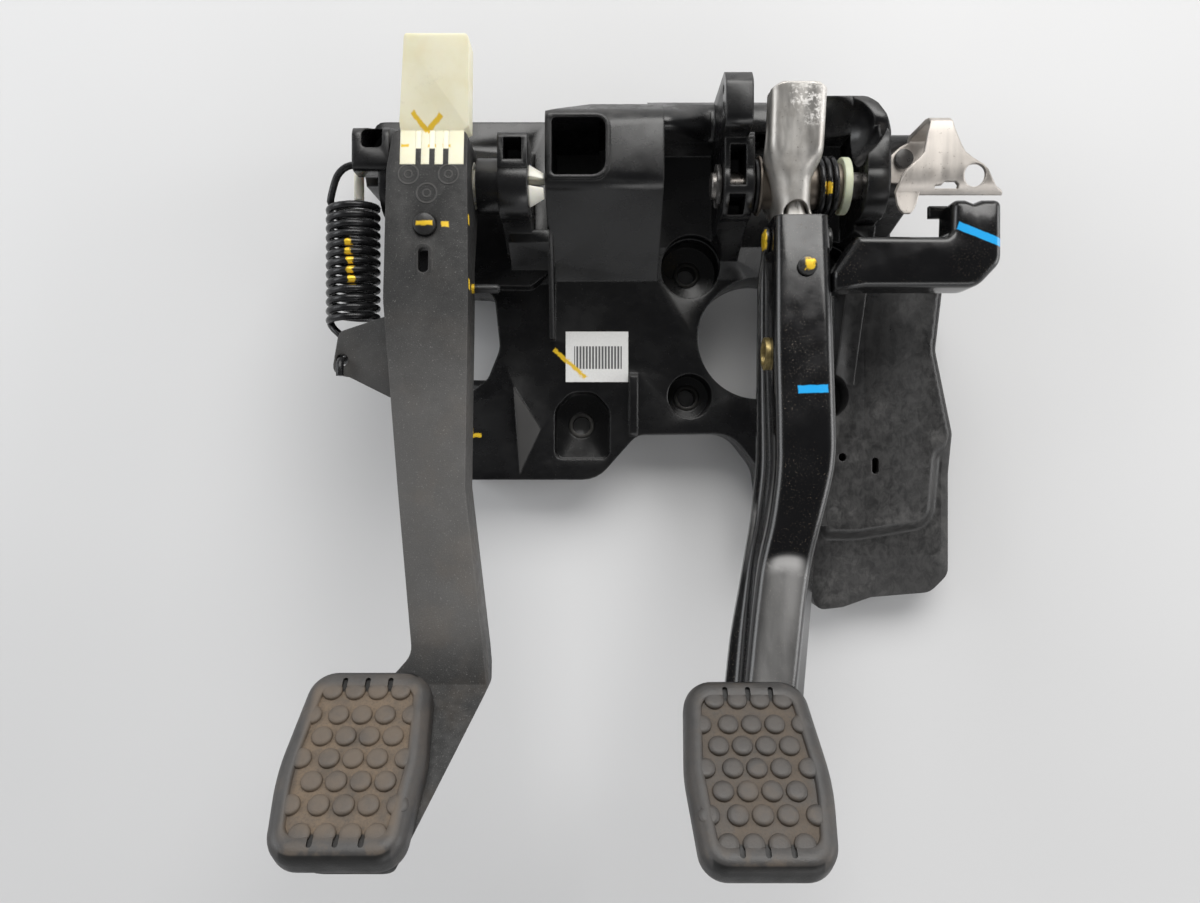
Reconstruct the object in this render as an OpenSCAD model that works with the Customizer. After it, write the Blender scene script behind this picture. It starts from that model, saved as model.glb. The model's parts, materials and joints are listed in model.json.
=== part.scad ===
// Pedal box with a brake pedal and a clutch pedal on one moulded bracket.
// It lies on its bulkhead face: z = 0 is the bulkhead plane and +z points to the driver.
// +y is up in the car and +x is to the right seen from the driver. All sizes are in mm.
// The origin is the centre of the four servo bolts on the bulkhead plane.

/* [Bulkhead fixing] */
// Servo bolt spacing across
bolt_dx = 68; // [64:1:72]
// Servo bolt spacing up
bolt_dy = 63; // [60:1:66]
// Hole through each bolt sleeve
bolt_hole_d = 9; // [8.4:0.2:9.4]
// Outside of each bolt sleeve
sleeve_d = 13; // [12:0.5:14]
// Length of each bolt sleeve
sleeve_len = 11; // [9:0.5:12]
// Bore in the bracket for the servo push rod
rod_bore_d = 60; // [54:1:62]
// Well around the upper left bolt
deep_well_d = 29; // [26:0.5:30]
// Well around each other bolt
well_d = 22; // [20:0.5:24]
// Left position of the foot bolt
foot_bolt_x = -88; // [-90:1:-86]
// Height of the foot bolt below the servo centre
foot_bolt_y = -45.7; // [-47:0.5:-44]

/* [Bracket] */
// Height of the main deck above the bulkhead
deck_h = 28; // [26:0.5:30]
// Height of the side skirt above the bulkhead
skirt_h = 20; // [18:0.5:22]
// Height of the shelf behind the clutch hub
shelf_h = 38; // [36:0.5:42]
// Height of the hump roof between the pedals
hump_h = 75; // [70:1:77]
// Height of the roof over the brake hub
roof_h = 62; // [58:1:66]
// Wall of the moulding
wall = 3; // [2.4:0.1:3.4]
// Thickness of the stiffening ribs
rib = 2.4; // [2:0.1:3]
// Lowest edge of the foot
foot_y = -73; // [-76:0.5:-71]
// Lowest edge of the skirt
skirt_y = -139; // [-144:1:-136]
// Right edge of the skirt
skirt_x = 97; // [94:1:100]
// Width of a pivot cheek
cheek_w = 13; // [11:0.5:14]
// Radius of the cheek head around the pivot
cheek_r = 15; // [14:0.5:16]

/* [Pedal layout] */
// Drop of the pad centres below the servo centre
pad_drop = 167.5; // [160:0.5:175]
// Distance of the pad centres from the bulkhead
pad_reach = 154; // [150:0.5:158]
// Middle of the clutch hub
clutch_x = -151; // [-156:0.5:-148]
// Middle of the brake hub
brake_x = 11; // [8:0.5:14]

/* [Pivots] */
// Height of both pivots above the servo centre
pivot_y = 60; // [58:0.5:62]
// Distance of both pivots from the bulkhead
pivot_z = 70; // [68:0.5:72]
// Length of the brake hub tube
brake_hub_w = 42; // [38:0.5:43]
// Outside of the brake hub tube
brake_hub_d = 20; // [18:0.5:21]
// Brake pivot pin
brake_pin_d = 12; // [10:0.5:13]
// Width of the clutch hub
clutch_hub_w = 33; // [31:0.5:34]
// Outside of the clutch hub
clutch_hub_d = 28; // [26:0.5:30]
// Clutch pivot pin
clutch_pin_d = 14; // [12:0.5:15]
// Radial play of a running fit
run_fit = 0.05; // [0.03:0.01:0.08]
// Side play between a hub and its cheek
side_gap = 1.5; // [1:0.1:2]

/* [Brake pedal] */
// Depth of the brake arm channel
brake_depth = 26; // [23:0.5:27]
// Sheet of the brake arm
brake_sheet = 3; // [2.5:0.1:3.4]
// Rise of the arm face per millimetre down the arm
brake_rise = 0.13; // [0.12:0.005:0.14]
// Distance from the bulkhead of the arm face at its upper end
brake_face = 95; // [94:0.5:96]
// Hole for the servo clevis pin
clevis_d = 10; // [8:0.5:12]
// Clevis pin below the servo centre
clevis_y = -17; // [-20:0.5:-14]
// Sheet of the crash lever
lever_sheet = 2.5; // [2:0.1:3]

/* [Clutch pedal] */
// Depth of the clutch arm
clutch_depth = 21; // [19:0.5:22]
// Wall of the clutch arm
clutch_wall = 3.6; // [3:0.1:4.2]
// Rise of the arm face per millimetre down the arm
clutch_rise = 0.12; // [0.115:0.005:0.13]
// Distance from the bulkhead of the arm face at the pivot
clutch_face = 95; // [94:0.5:96]
// Wire of the assist spring
spring_wire = 3.2; // [2.8:0.1:3.5]
// Outside of the assist spring
spring_d = 23.5; // [22:0.5:24]
// Turns of the assist spring
spring_turns = 13; // [11:1:14]

/* [Pads] */
// Width of a pad
pad_w = 50; // [46:0.5:52]
// Length of a pad
pad_l = 68; // [64:1:70]
// Thickness of a pad without its studs
pad_t = 12; // [10:0.5:13]
// Tilt of a pad from the bulkhead plane
pad_tilt = 45; // [43:1:47]
// Height of the round studs
stud_h = 1.6; // [1:0.1:2]
// Diameter of the round studs
stud_d = 6.4; // [5.5:0.1:6.8]
// Spacing of the studs
stud_pitch = 8.6; // [8.2:0.1:9]
// Offset of the clutch pad to the left of its hub
clutch_pad_side = 15.5; // [14:0.5:17]
// Offset of the brake pad to the left of its hub
brake_pad_side = 33.5; // [32:0.5:35]

/* [Hidden] */
$fn = 64;
bolt_x = bolt_dx / 2;
bolt_y = bolt_dy / 2;
seat = sleeve_len;
clutch_l = clutch_x - clutch_hub_w / 2;
clutch_r = clutch_x + clutch_hub_w / 2;
brake_l = brake_x - brake_hub_w / 2;
brake_r = brake_x + brake_hub_w / 2;
// Clutch cheeks: left one outside the hub, right one (tower) next to the hump
cheek_a0 = clutch_l - side_gap - cheek_w * 0.42;
cheek_a1 = clutch_l - side_gap;
tower_a0 = clutch_x + 28;
tower_a1 = tower_a0 + cheek_w;
// Brake cheeks
tower_b1 = brake_l - side_gap;
tower_b0 = tower_b1 - cheek_w;
tower_c0 = brake_r + side_gap + 4;
tower_c1 = tower_c0 + cheek_w * 0.75;
hump_l = tower_a1 + 7;
hump_r = -50;
deck_top = 107;
clutch_pad_x = clutch_x - clutch_pad_side;
brake_pad_x = brake_x - brake_pad_side;
pad_c_y = -pad_drop;
pad_c_z = pad_reach;
brake_pad_c_y = pad_c_y - 3.5;
brake_pad_c_z = pad_reach;
// Upper and lower ends of the assist spring
anchor_x = clutch_x - 36;
anchor_z = pivot_z + 8;
ear_l = anchor_x + 2;
hook_y = 67;
peg_d = 4.4;
wing_x = clutch_x - 37.5;
wing_y = -20;
wing_z = 90;
// Width of the fingers that key the crash lever, and the steps between them
finger = 2.2;
finger_x = [for (i = [-1:1]) clutch_x + 1.6 + 5.8 * i];

function unit(v) = v / norm(v);
function turn_left(v) = [-v[1], v[0]];
function flat(p) = [p[0], p[1]];
// Outline moved inward by t, corner radii following
function inset(p, t) = [
    for (i = [0:len(p) - 1])
    let (
        n = len(p),
        a = flat(p[(i + n - 1) % n]),
        b = flat(p[i]),
        c = flat(p[(i + 1) % n]),
        u = turn_left(unit(b - a)),
        v = turn_left(unit(c - b)),
        q = b + (u + v) * t / (1 + u * v),
        side = cross(b - a, c - b) > 0 ? 1 : -1
    )
    [q[0], q[1], max(0, p[i][2] - side * t)]
];
// Corner of an outline as an arc of radius r
function arc_corner(a, b, c, r, n) =
    let (
        u = unit(a - b),
        v = unit(c - b),
        half = acos(max(-1, min(1, u * v))) / 2,
        w = 180 - 2 * half,
        m = b + unit(u + v) * r / sin(half),
        p = b + u * r / tan(half) - m,
        q = b + v * r / tan(half) - m
    )
    [for (k = [0:n]) m + (p * sin((1 - k / n) * w) + q * sin(k / n * w)) / sin(w)];
function rounded(p, n = 4) = [
    for (i = [0:len(p) - 1])
    let (
        m = len(p),
        a = flat(p[(i + m - 1) % m]),
        b = flat(p[i]),
        c = flat(p[(i + 1) % m])
    )
    each (p[i][2] < 0.05 ? [b] : arc_corner(a, b, c, p[i][2], n))
];
// Height on a pedal that lengthens with the pad drop
function down(y) = pivot_y - (60 - y) * (pivot_y + pad_drop) / 227.5;
// Outline given from the middle of a hub, hung at its pedal
function hang(x, p) = [for (q = p) [x + q[0], down(q[1]), len(q) > 2 ? q[2] : 0]];
// Height from which the channel of the brake arm gets shallower
brake_taper_y = -80;
brake_taper = 0.17;
function brake_z(y) = brake_face + (42 - y) * brake_rise;
function clutch_z(y) = clutch_face + (60 - y) * clutch_rise;

module soft(p, n = 4) {
    polygon(rounded(p, n));
}
// Profile given in y and z, drawn from x0 to x1
module along_x(x0, x1) {
    translate([x0, 0, 0])
        rotate([90, 0, 90])
            linear_extrude(x1 - x0)
                children();
}
module rod_x(x0, x1, y, z, d) {
    translate([x0, y, z])
        rotate([0, 90, 0])
            cylinder(d = d, h = x1 - x0);
}
module box(x0, x1, y0, y1, z0, z1) {
    translate([x0, y0, z0])
        cube([x1 - x0, y1 - y0, z1 - z0]);
}
// Wire bent along a list of points, as one swept skin of m sides
module wire(path, d, m = 8) {
    n = len(path);
    tang = [for (i = [0:n - 1]) unit(path[min(i + 1, n - 1)] - path[max(i - 1, 0)])];
    ref = abs(tang[0][0]) > 0.8 ? [0, 0, 1] : [1, 0, 0];
    // Side direction carried along the path without twist
    side = [
        for (i = 0, u = unit(cross(tang[0], ref)); i < n;
            i = i + 1, u = i < n ? unit(u - tang[i] * (u * tang[i])) : u)
        u
    ];
    pts = [
        for (i = [0:n - 1])
        let (u = side[i], v = cross(tang[i], u))
        for (k = [0:m - 1])
        path[i] + (u * cos(360 * k / m) + v * sin(360 * k / m)) * d / 2
    ];
    skin = [
        for (i = [0:n - 2])
        for (k = [0:m - 1])
        let (a = i * m + k, b = i * m + (k + 1) % m)
        each [[a, a + m, b], [b, a + m, b + m]]
    ];
    first = [for (k = [0:m - 1]) k];
    last = [for (k = [m - 1:-1:0]) (n - 1) * m + k];
    polyhedron(points = pts, faces = concat([first], skin, [last]), convexity = 12);
}

// Plan of the main deck
deck_plan = [
    [clutch_x - 37, 100.5, 5], [clutch_x - 37, 72, 5], [clutch_x - 27, 62, 5], [clutch_x - 27, 22, 5],
    [clutch_x + 20, 20, 6], [clutch_x + 23, -8, 14],
    [clutch_x + 17, -23, 8], [clutch_x + 1, -36, 5], [clutch_x + 1, foot_y, 6], [-80, foot_y, 16],
    [-60, -50.5, 10], [-13, -50, 16], [0.5, -68, 14], [4, -96, 6], [52, -96, 6], [63, 24, 5],
    [60, 90, 12], [46, deck_top, 12], [-20, deck_top, 30], [-70, 102.5, 30], [hump_l - 1, 102, 12],
    [clutch_x + 24, 100.5, 10]
];
// Plan of the side skirt
skirt_plan = [
    [14, -92, 4], [31, skirt_y, 5], [44, skirt_y + 1.5, 10], [58, -132.5, 10], [88, -130, 9],
    [skirt_x, -121, 8], [skirt_x, -70, 10], [skirt_x + 2, -50, 12], [90.5, -8, 14], [94.5, 26, 5],
    [40, 26, 4]
];
// Plan of the raised panel of the skirt
panel_plan = [[40, 22, 2], [40, -91, 4], [84, -91, 10], [86.5, -60, 8], [92, -49, 6], [85, -8, 8],
    [87, 22, 4]];
// Side view of the hump
hump_side = [[22, 0, 0], [24, deck_h - 2, 1], [60, hump_h, 9], [92, hump_h, 10], [101, hump_h - 15, 5],
    [101, 0, 0]];
// Side view of the roof behind the brake hub
roof_side = [[84, 0, 0], [84, roof_h - 4, 4], [90, roof_h, 5], [100, roof_h, 9], [deck_top, roof_h - 16, 5],
    [deck_top, 0, 0]];

module hollow(h, plan) {
    linear_extrude(h)
        soft(plan);
}
module hollow_in(h, plan) {
    translate([0, 0, -1])
        linear_extrude(h - wall + 1)
            soft(inset(plan, wall));
}
module shelf_plan() {
    soft([[clutch_x - 37, 100.5, 5], [clutch_x - 37, 72, 5], [clutch_x - 27, 62, 5], [clutch_x - 27, 22, 5],
        [tower_a1 - 2, 21, 5], [hump_l + 3, 30, 5], [hump_l + 3, 100.5, 5]]);
}
module well(x, y, d) {
    translate([x, y, 0])
        cylinder(d = d + 2 * wall, h = deck_h);
}
module well_in(x, y, d) {
    translate([x, y, seat])
        cylinder(d = d, h = 80);
    translate([x, y, -1])
        cylinder(d = sleeve_d, h = 80);
}
foot_well = [[-93, -29.5, 8], [-101, -38, 8], [-101, -62.7, 4], [-73.5, -62.7, 4], [-73.5, -38, 8],
    [-81, -29.5, 8]];
// Side view of a cheek that carries a pivot
module cheek_side(y0, y1, z0) {
    difference() {
        union() {
            polygon([[y0, z0], [y1, z0], [pivot_y + cheek_r, pivot_z - 6],
                [pivot_y + cheek_r * 0.8, pivot_z + cheek_r * 0.6],
                [pivot_y - cheek_r * 0.8, pivot_z + cheek_r * 0.6], [pivot_y - cheek_r, pivot_z - 6]]);
            translate([pivot_y, pivot_z])
                circle(r = cheek_r);
        }
        translate([pivot_y, pivot_z])
            circle(d = 1);
    }
}

// Outer skin of the moulded bracket
module bracket_body() {
    hollow(deck_h, deck_plan);
    hollow(skirt_h, skirt_plan);
    linear_extrude(shelf_h)
        shelf_plan();
    along_x(hump_l, hump_r)
        soft(hump_side);
    along_x(hump_r - 6, 44)
        soft(roof_side);
    // Rounded dome over the right end of the brake hub
    intersection() {
        along_x(20, 62)
            soft([[80, 0, 0], [80, roof_h, 4], [92, roof_h + 6, 8], [104, roof_h + 2, 8],
                [deck_top, roof_h - 16, 6], [deck_top, 0, 0]]);
        linear_extrude(100)
            soft([[20, 70, 0], [54, 70, 0], [54, 86, 10], [46, deck_top, 20], [20, deck_top, 0]]);
    }
    // Back wall behind the brake hub
    along_x(hump_r - 4, 62)
        polygon([[20, 0], [26, deck_h], [40, 38], [90, 38], [90, 0]]);
    // Raised panel of the skirt
    translate([0, 0, skirt_h - 4])
        linear_extrude(10)
            soft(panel_plan);
    // Gusset from the deck up to the right brake tower
    along_x(tower_c0, tower_c1)
        polygon([[-34, deck_h - 4], [44, deck_h - 4], [44, 64]]);
}
// Space inside the moulding, open at the bulkhead
module bracket_space() {
    hollow_in(deck_h, deck_plan);
    hollow_in(skirt_h, skirt_plan);
    hollow_in(skirt_h + 6, panel_plan);
    translate([0, 0, -1])
        linear_extrude(shelf_h - wall + 1)
            soft([[clutch_x - 27 + wall, 100.5 - wall, 3], [clutch_x - 27 + wall, 22 + wall, 2],
                [tower_a1 - 3, 21 + wall, 2], [hump_l - wall, 32, 2], [hump_l - wall, 100.5 - wall, 3]]);
    along_x(hump_l + wall, hump_l + 25)
        soft([[25.5, -1, 0], [27, deck_h - 5, 2], [61.5, hump_h - wall, 6], [89, hump_h - wall, 5],
            [89, -1, 0]]);
    along_x(hump_l + 24, hump_r - wall)
        soft([[25.5, -1, 0], [27, deck_h - 5, 2], [61.5, hump_h - wall, 6], [91, hump_h - wall, 7],
            [98, hump_h - 17, 3], [98, -1, 0]]);
    along_x(hump_r - 2, 1)
        soft([[88, -1, 0], [88, roof_h - wall, 2], [99, roof_h - wall, 6], [deck_top - wall, roof_h - 18, 3],
            [deck_top - wall, -1, 0]]);
    along_x(hump_r, 58)
        polygon([[24, -1], [29, deck_h - wall], [40, 38 - wall], [90, 38 - wall], [90, -1]]);
}
module bracket_towers() {
    // Left cheek of the clutch with its spring ear
    along_x(cheek_a0, cheek_a1)
        cheek_side(34, 88, shelf_h - 2);
    along_x(ear_l, cheek_a1)
        soft([[62, shelf_h - 8, 0], [90, shelf_h - 8, 0], [90, 54, 6], [80, 88, 5], [62, 88, 3]]);
    // Right cheek of the clutch
    along_x(tower_a0, tower_a1)
        cheek_side(36, 86, shelf_h - 2);
    along_x(tower_a0, tower_a1)
        soft([[70, 60, 0], [80, 60, 0], [80, pivot_z + cheek_r, 3], [64, pivot_z + cheek_r, 0]]);
    // Boss that takes up the room beside the hub
    rod_x(clutch_r + side_gap, tower_a0 + 1, pivot_y, pivot_z, clutch_hub_d - 4);
    along_x(tower_a0 + 2, hump_l + 1)
        polygon([[22, deck_h - 4], [44, deck_h - 4], [44, 56], [38, 56]]);
    // Left cheek of the brake
    along_x(tower_b0, tower_b1)
        cheek_side(34, 90, 34);
    along_x(tower_b0, tower_b1)
        soft([[70, 60, 0], [80, 60, 0], [80, pivot_z + cheek_r, 3], [64, pivot_z + cheek_r, 0]]);
    // Post above the left brake cheek
    along_x(tower_b0 - 1.5, tower_b0 + 10)
        soft([[77, 56, 0], [101.5, 56, 0], [101.5, 95, 6], [95.5, 100, 4], [77, 100, 5]]);
    // Right cheek of the brake
    along_x(tower_c0, tower_c1)
        cheek_side(34, 92, 34);
    along_x(tower_c0, tower_c1)
        soft([[66, 40, 0], [92, 40, 0], [88, pivot_z, 8], [80, pivot_z + cheek_r, 8],
            [64, pivot_z + cheek_r, 0]]);
    // Block that carries the switch bracket
    along_x(tower_c1 - 1, tower_c1 + 12.5)
        soft([[40, 24, 0], [86, 24, 0], [84, 60, 6], [80, 80, 4], [52, 80, 4], [48, 60, 4]]);
}
module bracket_ribs() {
    // Ribs inside the deck, the shelf and the skirt
    box(clutch_x + 33, clutch_x + 33 + rib, foot_y + 1, 23, 1, deck_h - 1);
    box(-62, -62 + rib, -46, 23, 1, deck_h - 1);
    box(clutch_x + 2, -62, -26, -26 + rib, 1, deck_h - 1);
    box(clutch_x + 24, -46, 8, 8 + rib, 1, deck_h - 1);
    box(-46, -46 + rib, -49, 100, 1, deck_h - 1);
    box(-46, 60, 70, 70 + rib, 1, 36);
    box(clutch_x - 26, hump_l - 1, 56, 56 + rib, 1, shelf_h - 1);
    box(clutch_x + 11, clutch_x + 11 + rib, 24, 90, 1, shelf_h - 1);
    box(hump_l + 1, hump_r - 1, 60, 60 + rib, 1, 40);
    for (y = [-116, -84, -60])
        box(24, skirt_x - 1, y, y + rib, 1, skirt_h - 1);
    box(66, 66 + rib, -130, 25, 1, skirt_h - 1);
    box(-7, 67, -56, -56 + rib, 1, skirt_h - 1);
}
module bracket() {
    color([0.09, 0.09, 0.1])
    difference() {
        union() {
            difference() {
                bracket_body();
                bracket_space();
            }
            bracket_towers();
            bracket_ribs();
            for (p = [[-bolt_x, -bolt_y], [bolt_x, bolt_y], [bolt_x, -bolt_y]])
                well(p[0], p[1], well_d);
            well(-bolt_x, bolt_y, deep_well_d);
            translate([0, -3, 0])
                cylinder(d = rod_bore_d + 2 * wall, h = deck_h);
            linear_extrude(deck_h)
                soft(inset(foot_well, -wall));
            // Rib from the hump down the deck
            along_x(hump_l, hump_l + rib)
                polygon([[-4, deck_h - 1], [60, deck_h - 1], [60, 60], [46, 54], [-4, 34]]);
            // Ridge along the right edge of the foot
            along_x(-64, -60)
                polygon([[-52, deck_h - 1], [-20, deck_h - 1], [-22, deck_h + 5], [-50, deck_h + 4]]);
            // Rim around the opening in the hump roof
            translate([0, 0, hump_h - 2])
                linear_extrude(3.2)
                    soft([[hump_l + 0.5, 61.5, 2], [hump_l + 29, 61.5, 7], [hump_l + 29, 91, 6],
                        [hump_l + 0.5, 91, 2]]);
            // Facet on the foot
            intersection() {
                linear_extrude(60)
                    polygon([[clutch_x + 30, -27.5], [clutch_x + 33, -70], [clutch_x + 43, -48]]);
                rotate([90, 0, 0])
                    linear_extrude(100)
                        polygon([[clutch_x + 29, deck_h - 1], [clutch_x + 43, deck_h - 1],
                            [clutch_x + 43, deck_h + 0.2], [clutch_x + 30, deck_h + 4.5],
                            [clutch_x + 29, deck_h + 4.5]]);
            }
        }
        // Push rod bore
        translate([0, -3, -1])
            cylinder(d = rod_bore_d, h = 90);
        // Bolt wells and sleeve seats
        for (p = [[-bolt_x, -bolt_y], [bolt_x, bolt_y], [bolt_x, -bolt_y]])
            well_in(p[0], p[1], well_d);
        well_in(-bolt_x, bolt_y, deep_well_d);
        translate([0, 0, seat])
            linear_extrude(60)
                soft(foot_well);
        translate([foot_bolt_x, foot_bolt_y, -1])
            cylinder(d = sleeve_d, h = 80);
        // Pivot bores
        rod_x(anchor_x - 8, tower_a1 + 3, pivot_y, pivot_z, clutch_pin_d);
        rod_x(tower_b0 - 5, tower_c1 + 15, pivot_y, pivot_z, brake_pin_d);
        // Room for the brake hub and the crash lever between the cheeks
        box(tower_b1, tower_c0, 20, 88, 40, 120);
        box(tower_b1, tower_c0, 40, 120, roof_h - 0.5, 120);
        // Room for the clutch hub between its cheeks
        box(cheek_a1, clutch_r + side_gap, 10, 90, shelf_h, 120);
        // Windows in the tower fronts
        box(tower_a0 + 2.5, tower_a1 - 2.5, 67.5, 77, pivot_z - 2, 120);
        box(tower_b0 + 2.4, tower_b1 - 3.6, 56.5, 74, 64, 120);
        box(tower_b0 + 2.4, tower_b1 - 3.6, 46, 53, 64, 120);
        // Slanted left corner of the hump
        translate([0, 0, shelf_h + 2])
            linear_extrude(80)
                polygon([[hump_l - 3, 92], [hump_l + 23, 101.5], [hump_l + 23, 130], [hump_l - 3, 130]]);
        // Opening in the hump roof
        translate([0, 0, hump_h - 12])
            linear_extrude(30)
                soft([[hump_l + 3, 63.5, 2], [hump_l + 27, 63.5, 6], [hump_l + 27, 89, 4],
                    [hump_l + 3, 89, 2]]);
        // Holes in the post over the left brake cheek
        rod_x(tower_b0 - 4, tower_b0 + 20, 94.5, 92, 4);
        rod_x(tower_b0 - 4, tower_b0 + 20, 86.5, 92, 4);
        // Hole in the ear for the upper spring hook
        rod_x(ear_l - 1, ear_l + 9, hook_y, anchor_z, spring_wire + 0.8);
        // Pocket in the ear and seat of its peg
        translate([ear_l, 0, 68])
            linear_extrude(60)
                soft([[4, 71.5, 2], [13, 71.5, 2], [13, 82, 3], [7, 83, 3], [4, 78, 2]]);
        peg();
        // Open bell over the right end of the brake hub
        translate([25, 87, 76])
            sphere(r = 23);
        // Small hole in the roof edge, hole and slot in the skirt panel
        translate([tower_a0 + 7, 88, -1])
            cylinder(d = 4, h = 90);
        translate([41.7, -61.8, -1])
            cylinder(d = 4, h = 90);
        translate([58, -66, -1])
            linear_extrude(90)
                soft([[-1.7, -4, 1.6], [1.7, -4, 1.6], [1.7, 4, 1.6], [-1.7, 4, 1.6]]);
        // Screw hole of the switch bracket
        translate([tower_c1 + 6, 68, 60])
            cylinder(d = 4.2, h = 60);
    }
}
module bolt_sleeves() {
    color([0.72, 0.73, 0.74])
    for (p = [[-bolt_x, -bolt_y], [bolt_x, bolt_y], [bolt_x, -bolt_y], [-bolt_x, bolt_y],
        [foot_bolt_x, foot_bolt_y]])
        translate([p[0], p[1], 0])
            difference() {
                cylinder(d = sleeve_d, h = sleeve_len);
                translate([0, 0, -1])
                    cylinder(d = bolt_hole_d, h = sleeve_len + 2);
            }
}
module part_label() {
    color([0.93, 0.93, 0.9])
    translate([-95.5, -24.6, deck_h])
        cube([31, 25, 0.3]);
}
module brake_pivot_pin() {
    color([0.62, 0.62, 0.6])
    union() {
        rod_x(tower_b0 - 4.5, tower_c1 + 4, pivot_y, pivot_z, brake_pin_d);
        rod_x(tower_c1, tower_c1 + 0.5, pivot_y, pivot_z, brake_pin_d);
    }
}
module brake_pivot_clip() {
    // Spring clip on the grooved left end of the pin
    color([0.16, 0.16, 0.17])
    difference() {
        rod_x(tower_b0 - 2.4, tower_b0 - 0.4, pivot_y, pivot_z, brake_pin_d + 7);
        rod_x(tower_b0 - 3, tower_b0 + 1, pivot_y, pivot_z, brake_pin_d);
        box(tower_b0 - 3, tower_b0 + 1, pivot_y - 20, pivot_y - 2, pivot_z - 3, pivot_z + 3);
    }
    color([0.16, 0.16, 0.17])
    difference() {
        rod_x(tower_b0 - 0.5, tower_b0, pivot_y, pivot_z, brake_pin_d + 5);
        rod_x(tower_b0 - 3, tower_b0 + 1, pivot_y, pivot_z, brake_pin_d);
        box(tower_b0 - 3, tower_b0 + 1, pivot_y - 20, pivot_y - 2, pivot_z - 3, pivot_z + 3);
    }
}
brake_bush_d = (brake_pin_d + brake_hub_d) / 2;
module brake_hub_tube() {
    color([0.36, 0.33, 0.3])
    difference() {
        union() {
            rod_x(brake_l + 1.5, brake_r - 3.5, pivot_y, pivot_z, brake_hub_d);
            rod_x(brake_l + 1.5, brake_l + 2.8, pivot_y, pivot_z, brake_hub_d + 6);
        }
        rod_x(brake_l - 1, brake_r + 1, pivot_y, pivot_z, brake_bush_d);
    }
}
module brake_bushes() {
    color([0.2, 0.2, 0.2])
    difference() {
        union() {
            rod_x(brake_l, brake_l + 1.5, pivot_y, pivot_z, brake_hub_d + 3);
            rod_x(brake_l, brake_l + 14, pivot_y, pivot_z, brake_bush_d);
            rod_x(brake_r - 16, brake_r - 3.5, pivot_y, pivot_z, brake_bush_d);
        }
        rod_x(brake_l - 1, brake_r + 1, pivot_y, pivot_z, brake_pin_d + 2 * run_fit);
    }
}
module brake_spring_collar() {
    color([0.8, 0.83, 0.72])
    difference() {
        rod_x(brake_r - 3.5, brake_r, pivot_y, pivot_z, brake_hub_d + 5);
        rod_x(brake_l - 1, brake_r + 1, pivot_y, pivot_z, brake_pin_d + 2 * run_fit);
    }
}
// Plan of the brake arm face from the middle of its hub, upper end first
arm_left = [[-15.6, 41], [-16.4, 19], [-17.2, -10], [-17.4, -66], [-20.6, -88], [-25, -104], [-28.5, -126],
    [-35.5, -178]];
arm_right = [[-13, -178], [-4, -126], [-0.5, -104], [3.8, -88], [7, -66], [8, -10], [7.9, 41]];
arm_plan = hang(brake_x, concat(arm_left, arm_right));
arm_in = hang(brake_x, concat([[-15.3, 50]],
    [for (p = concat(arm_left, arm_right)) [p[0], p[1] < -170 ? -195 : p[1]]], [[7.9, 50]]));
// Outward flange along the left wall
flange_plan = hang(brake_x, [[-16.5, 27], [-18.6, 20], [-20.1, -20], [-21.4, -66], [-24, -86], [-31, -117],
    [-35.5, -136], [-41, -170], [-32, -170], [-27.5, -126], [-24, -104], [-19.5, -88], [-16.4, -66],
    [-16.2, -10], [-15, 27]]);
arm_x0 = brake_x - 60;
arm_x1 = brake_x + 30;
// Rivet through lever and arm, and the pin on the arm face
rivet_y = 33;
rivet_z = brake_z(rivet_y) - 14;
face_pin_x = brake_x - 3;
face_pin_y = 18.5;
clevis_z = brake_z(clevis_y) - 16;
pad_sin = sin(pad_tilt);
pad_cos = cos(pad_tilt);
brake_back_y = brake_pad_c_y - (pad_t + 4) * pad_sin;
brake_back_z = brake_pad_c_z - (pad_t + 4) * pad_cos;
// Height where a sloping arm face meets the tilted plane through y, z
function meet(face, y0, rise, y, z) = (z + y * tan(pad_tilt) - face - y0 * rise) / (tan(pad_tilt) - rise);
// Lower end of the brake arm, and where its face meets the back of the pad plate
brake_low = brake_pad_c_y - 6;
brake_weld = meet(brake_face, 42, brake_rise, brake_back_y, brake_back_z);
function brake_plane(y) = brake_back_z + (brake_back_y - y) * tan(pad_tilt);
// Point of the brake arm's side view at depth t below its face, less the taper where k is 1
function brake_at(y, t, k) = [y, brake_z(y) - t + k * brake_taper * max(0, brake_taper_y - y)];
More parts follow.
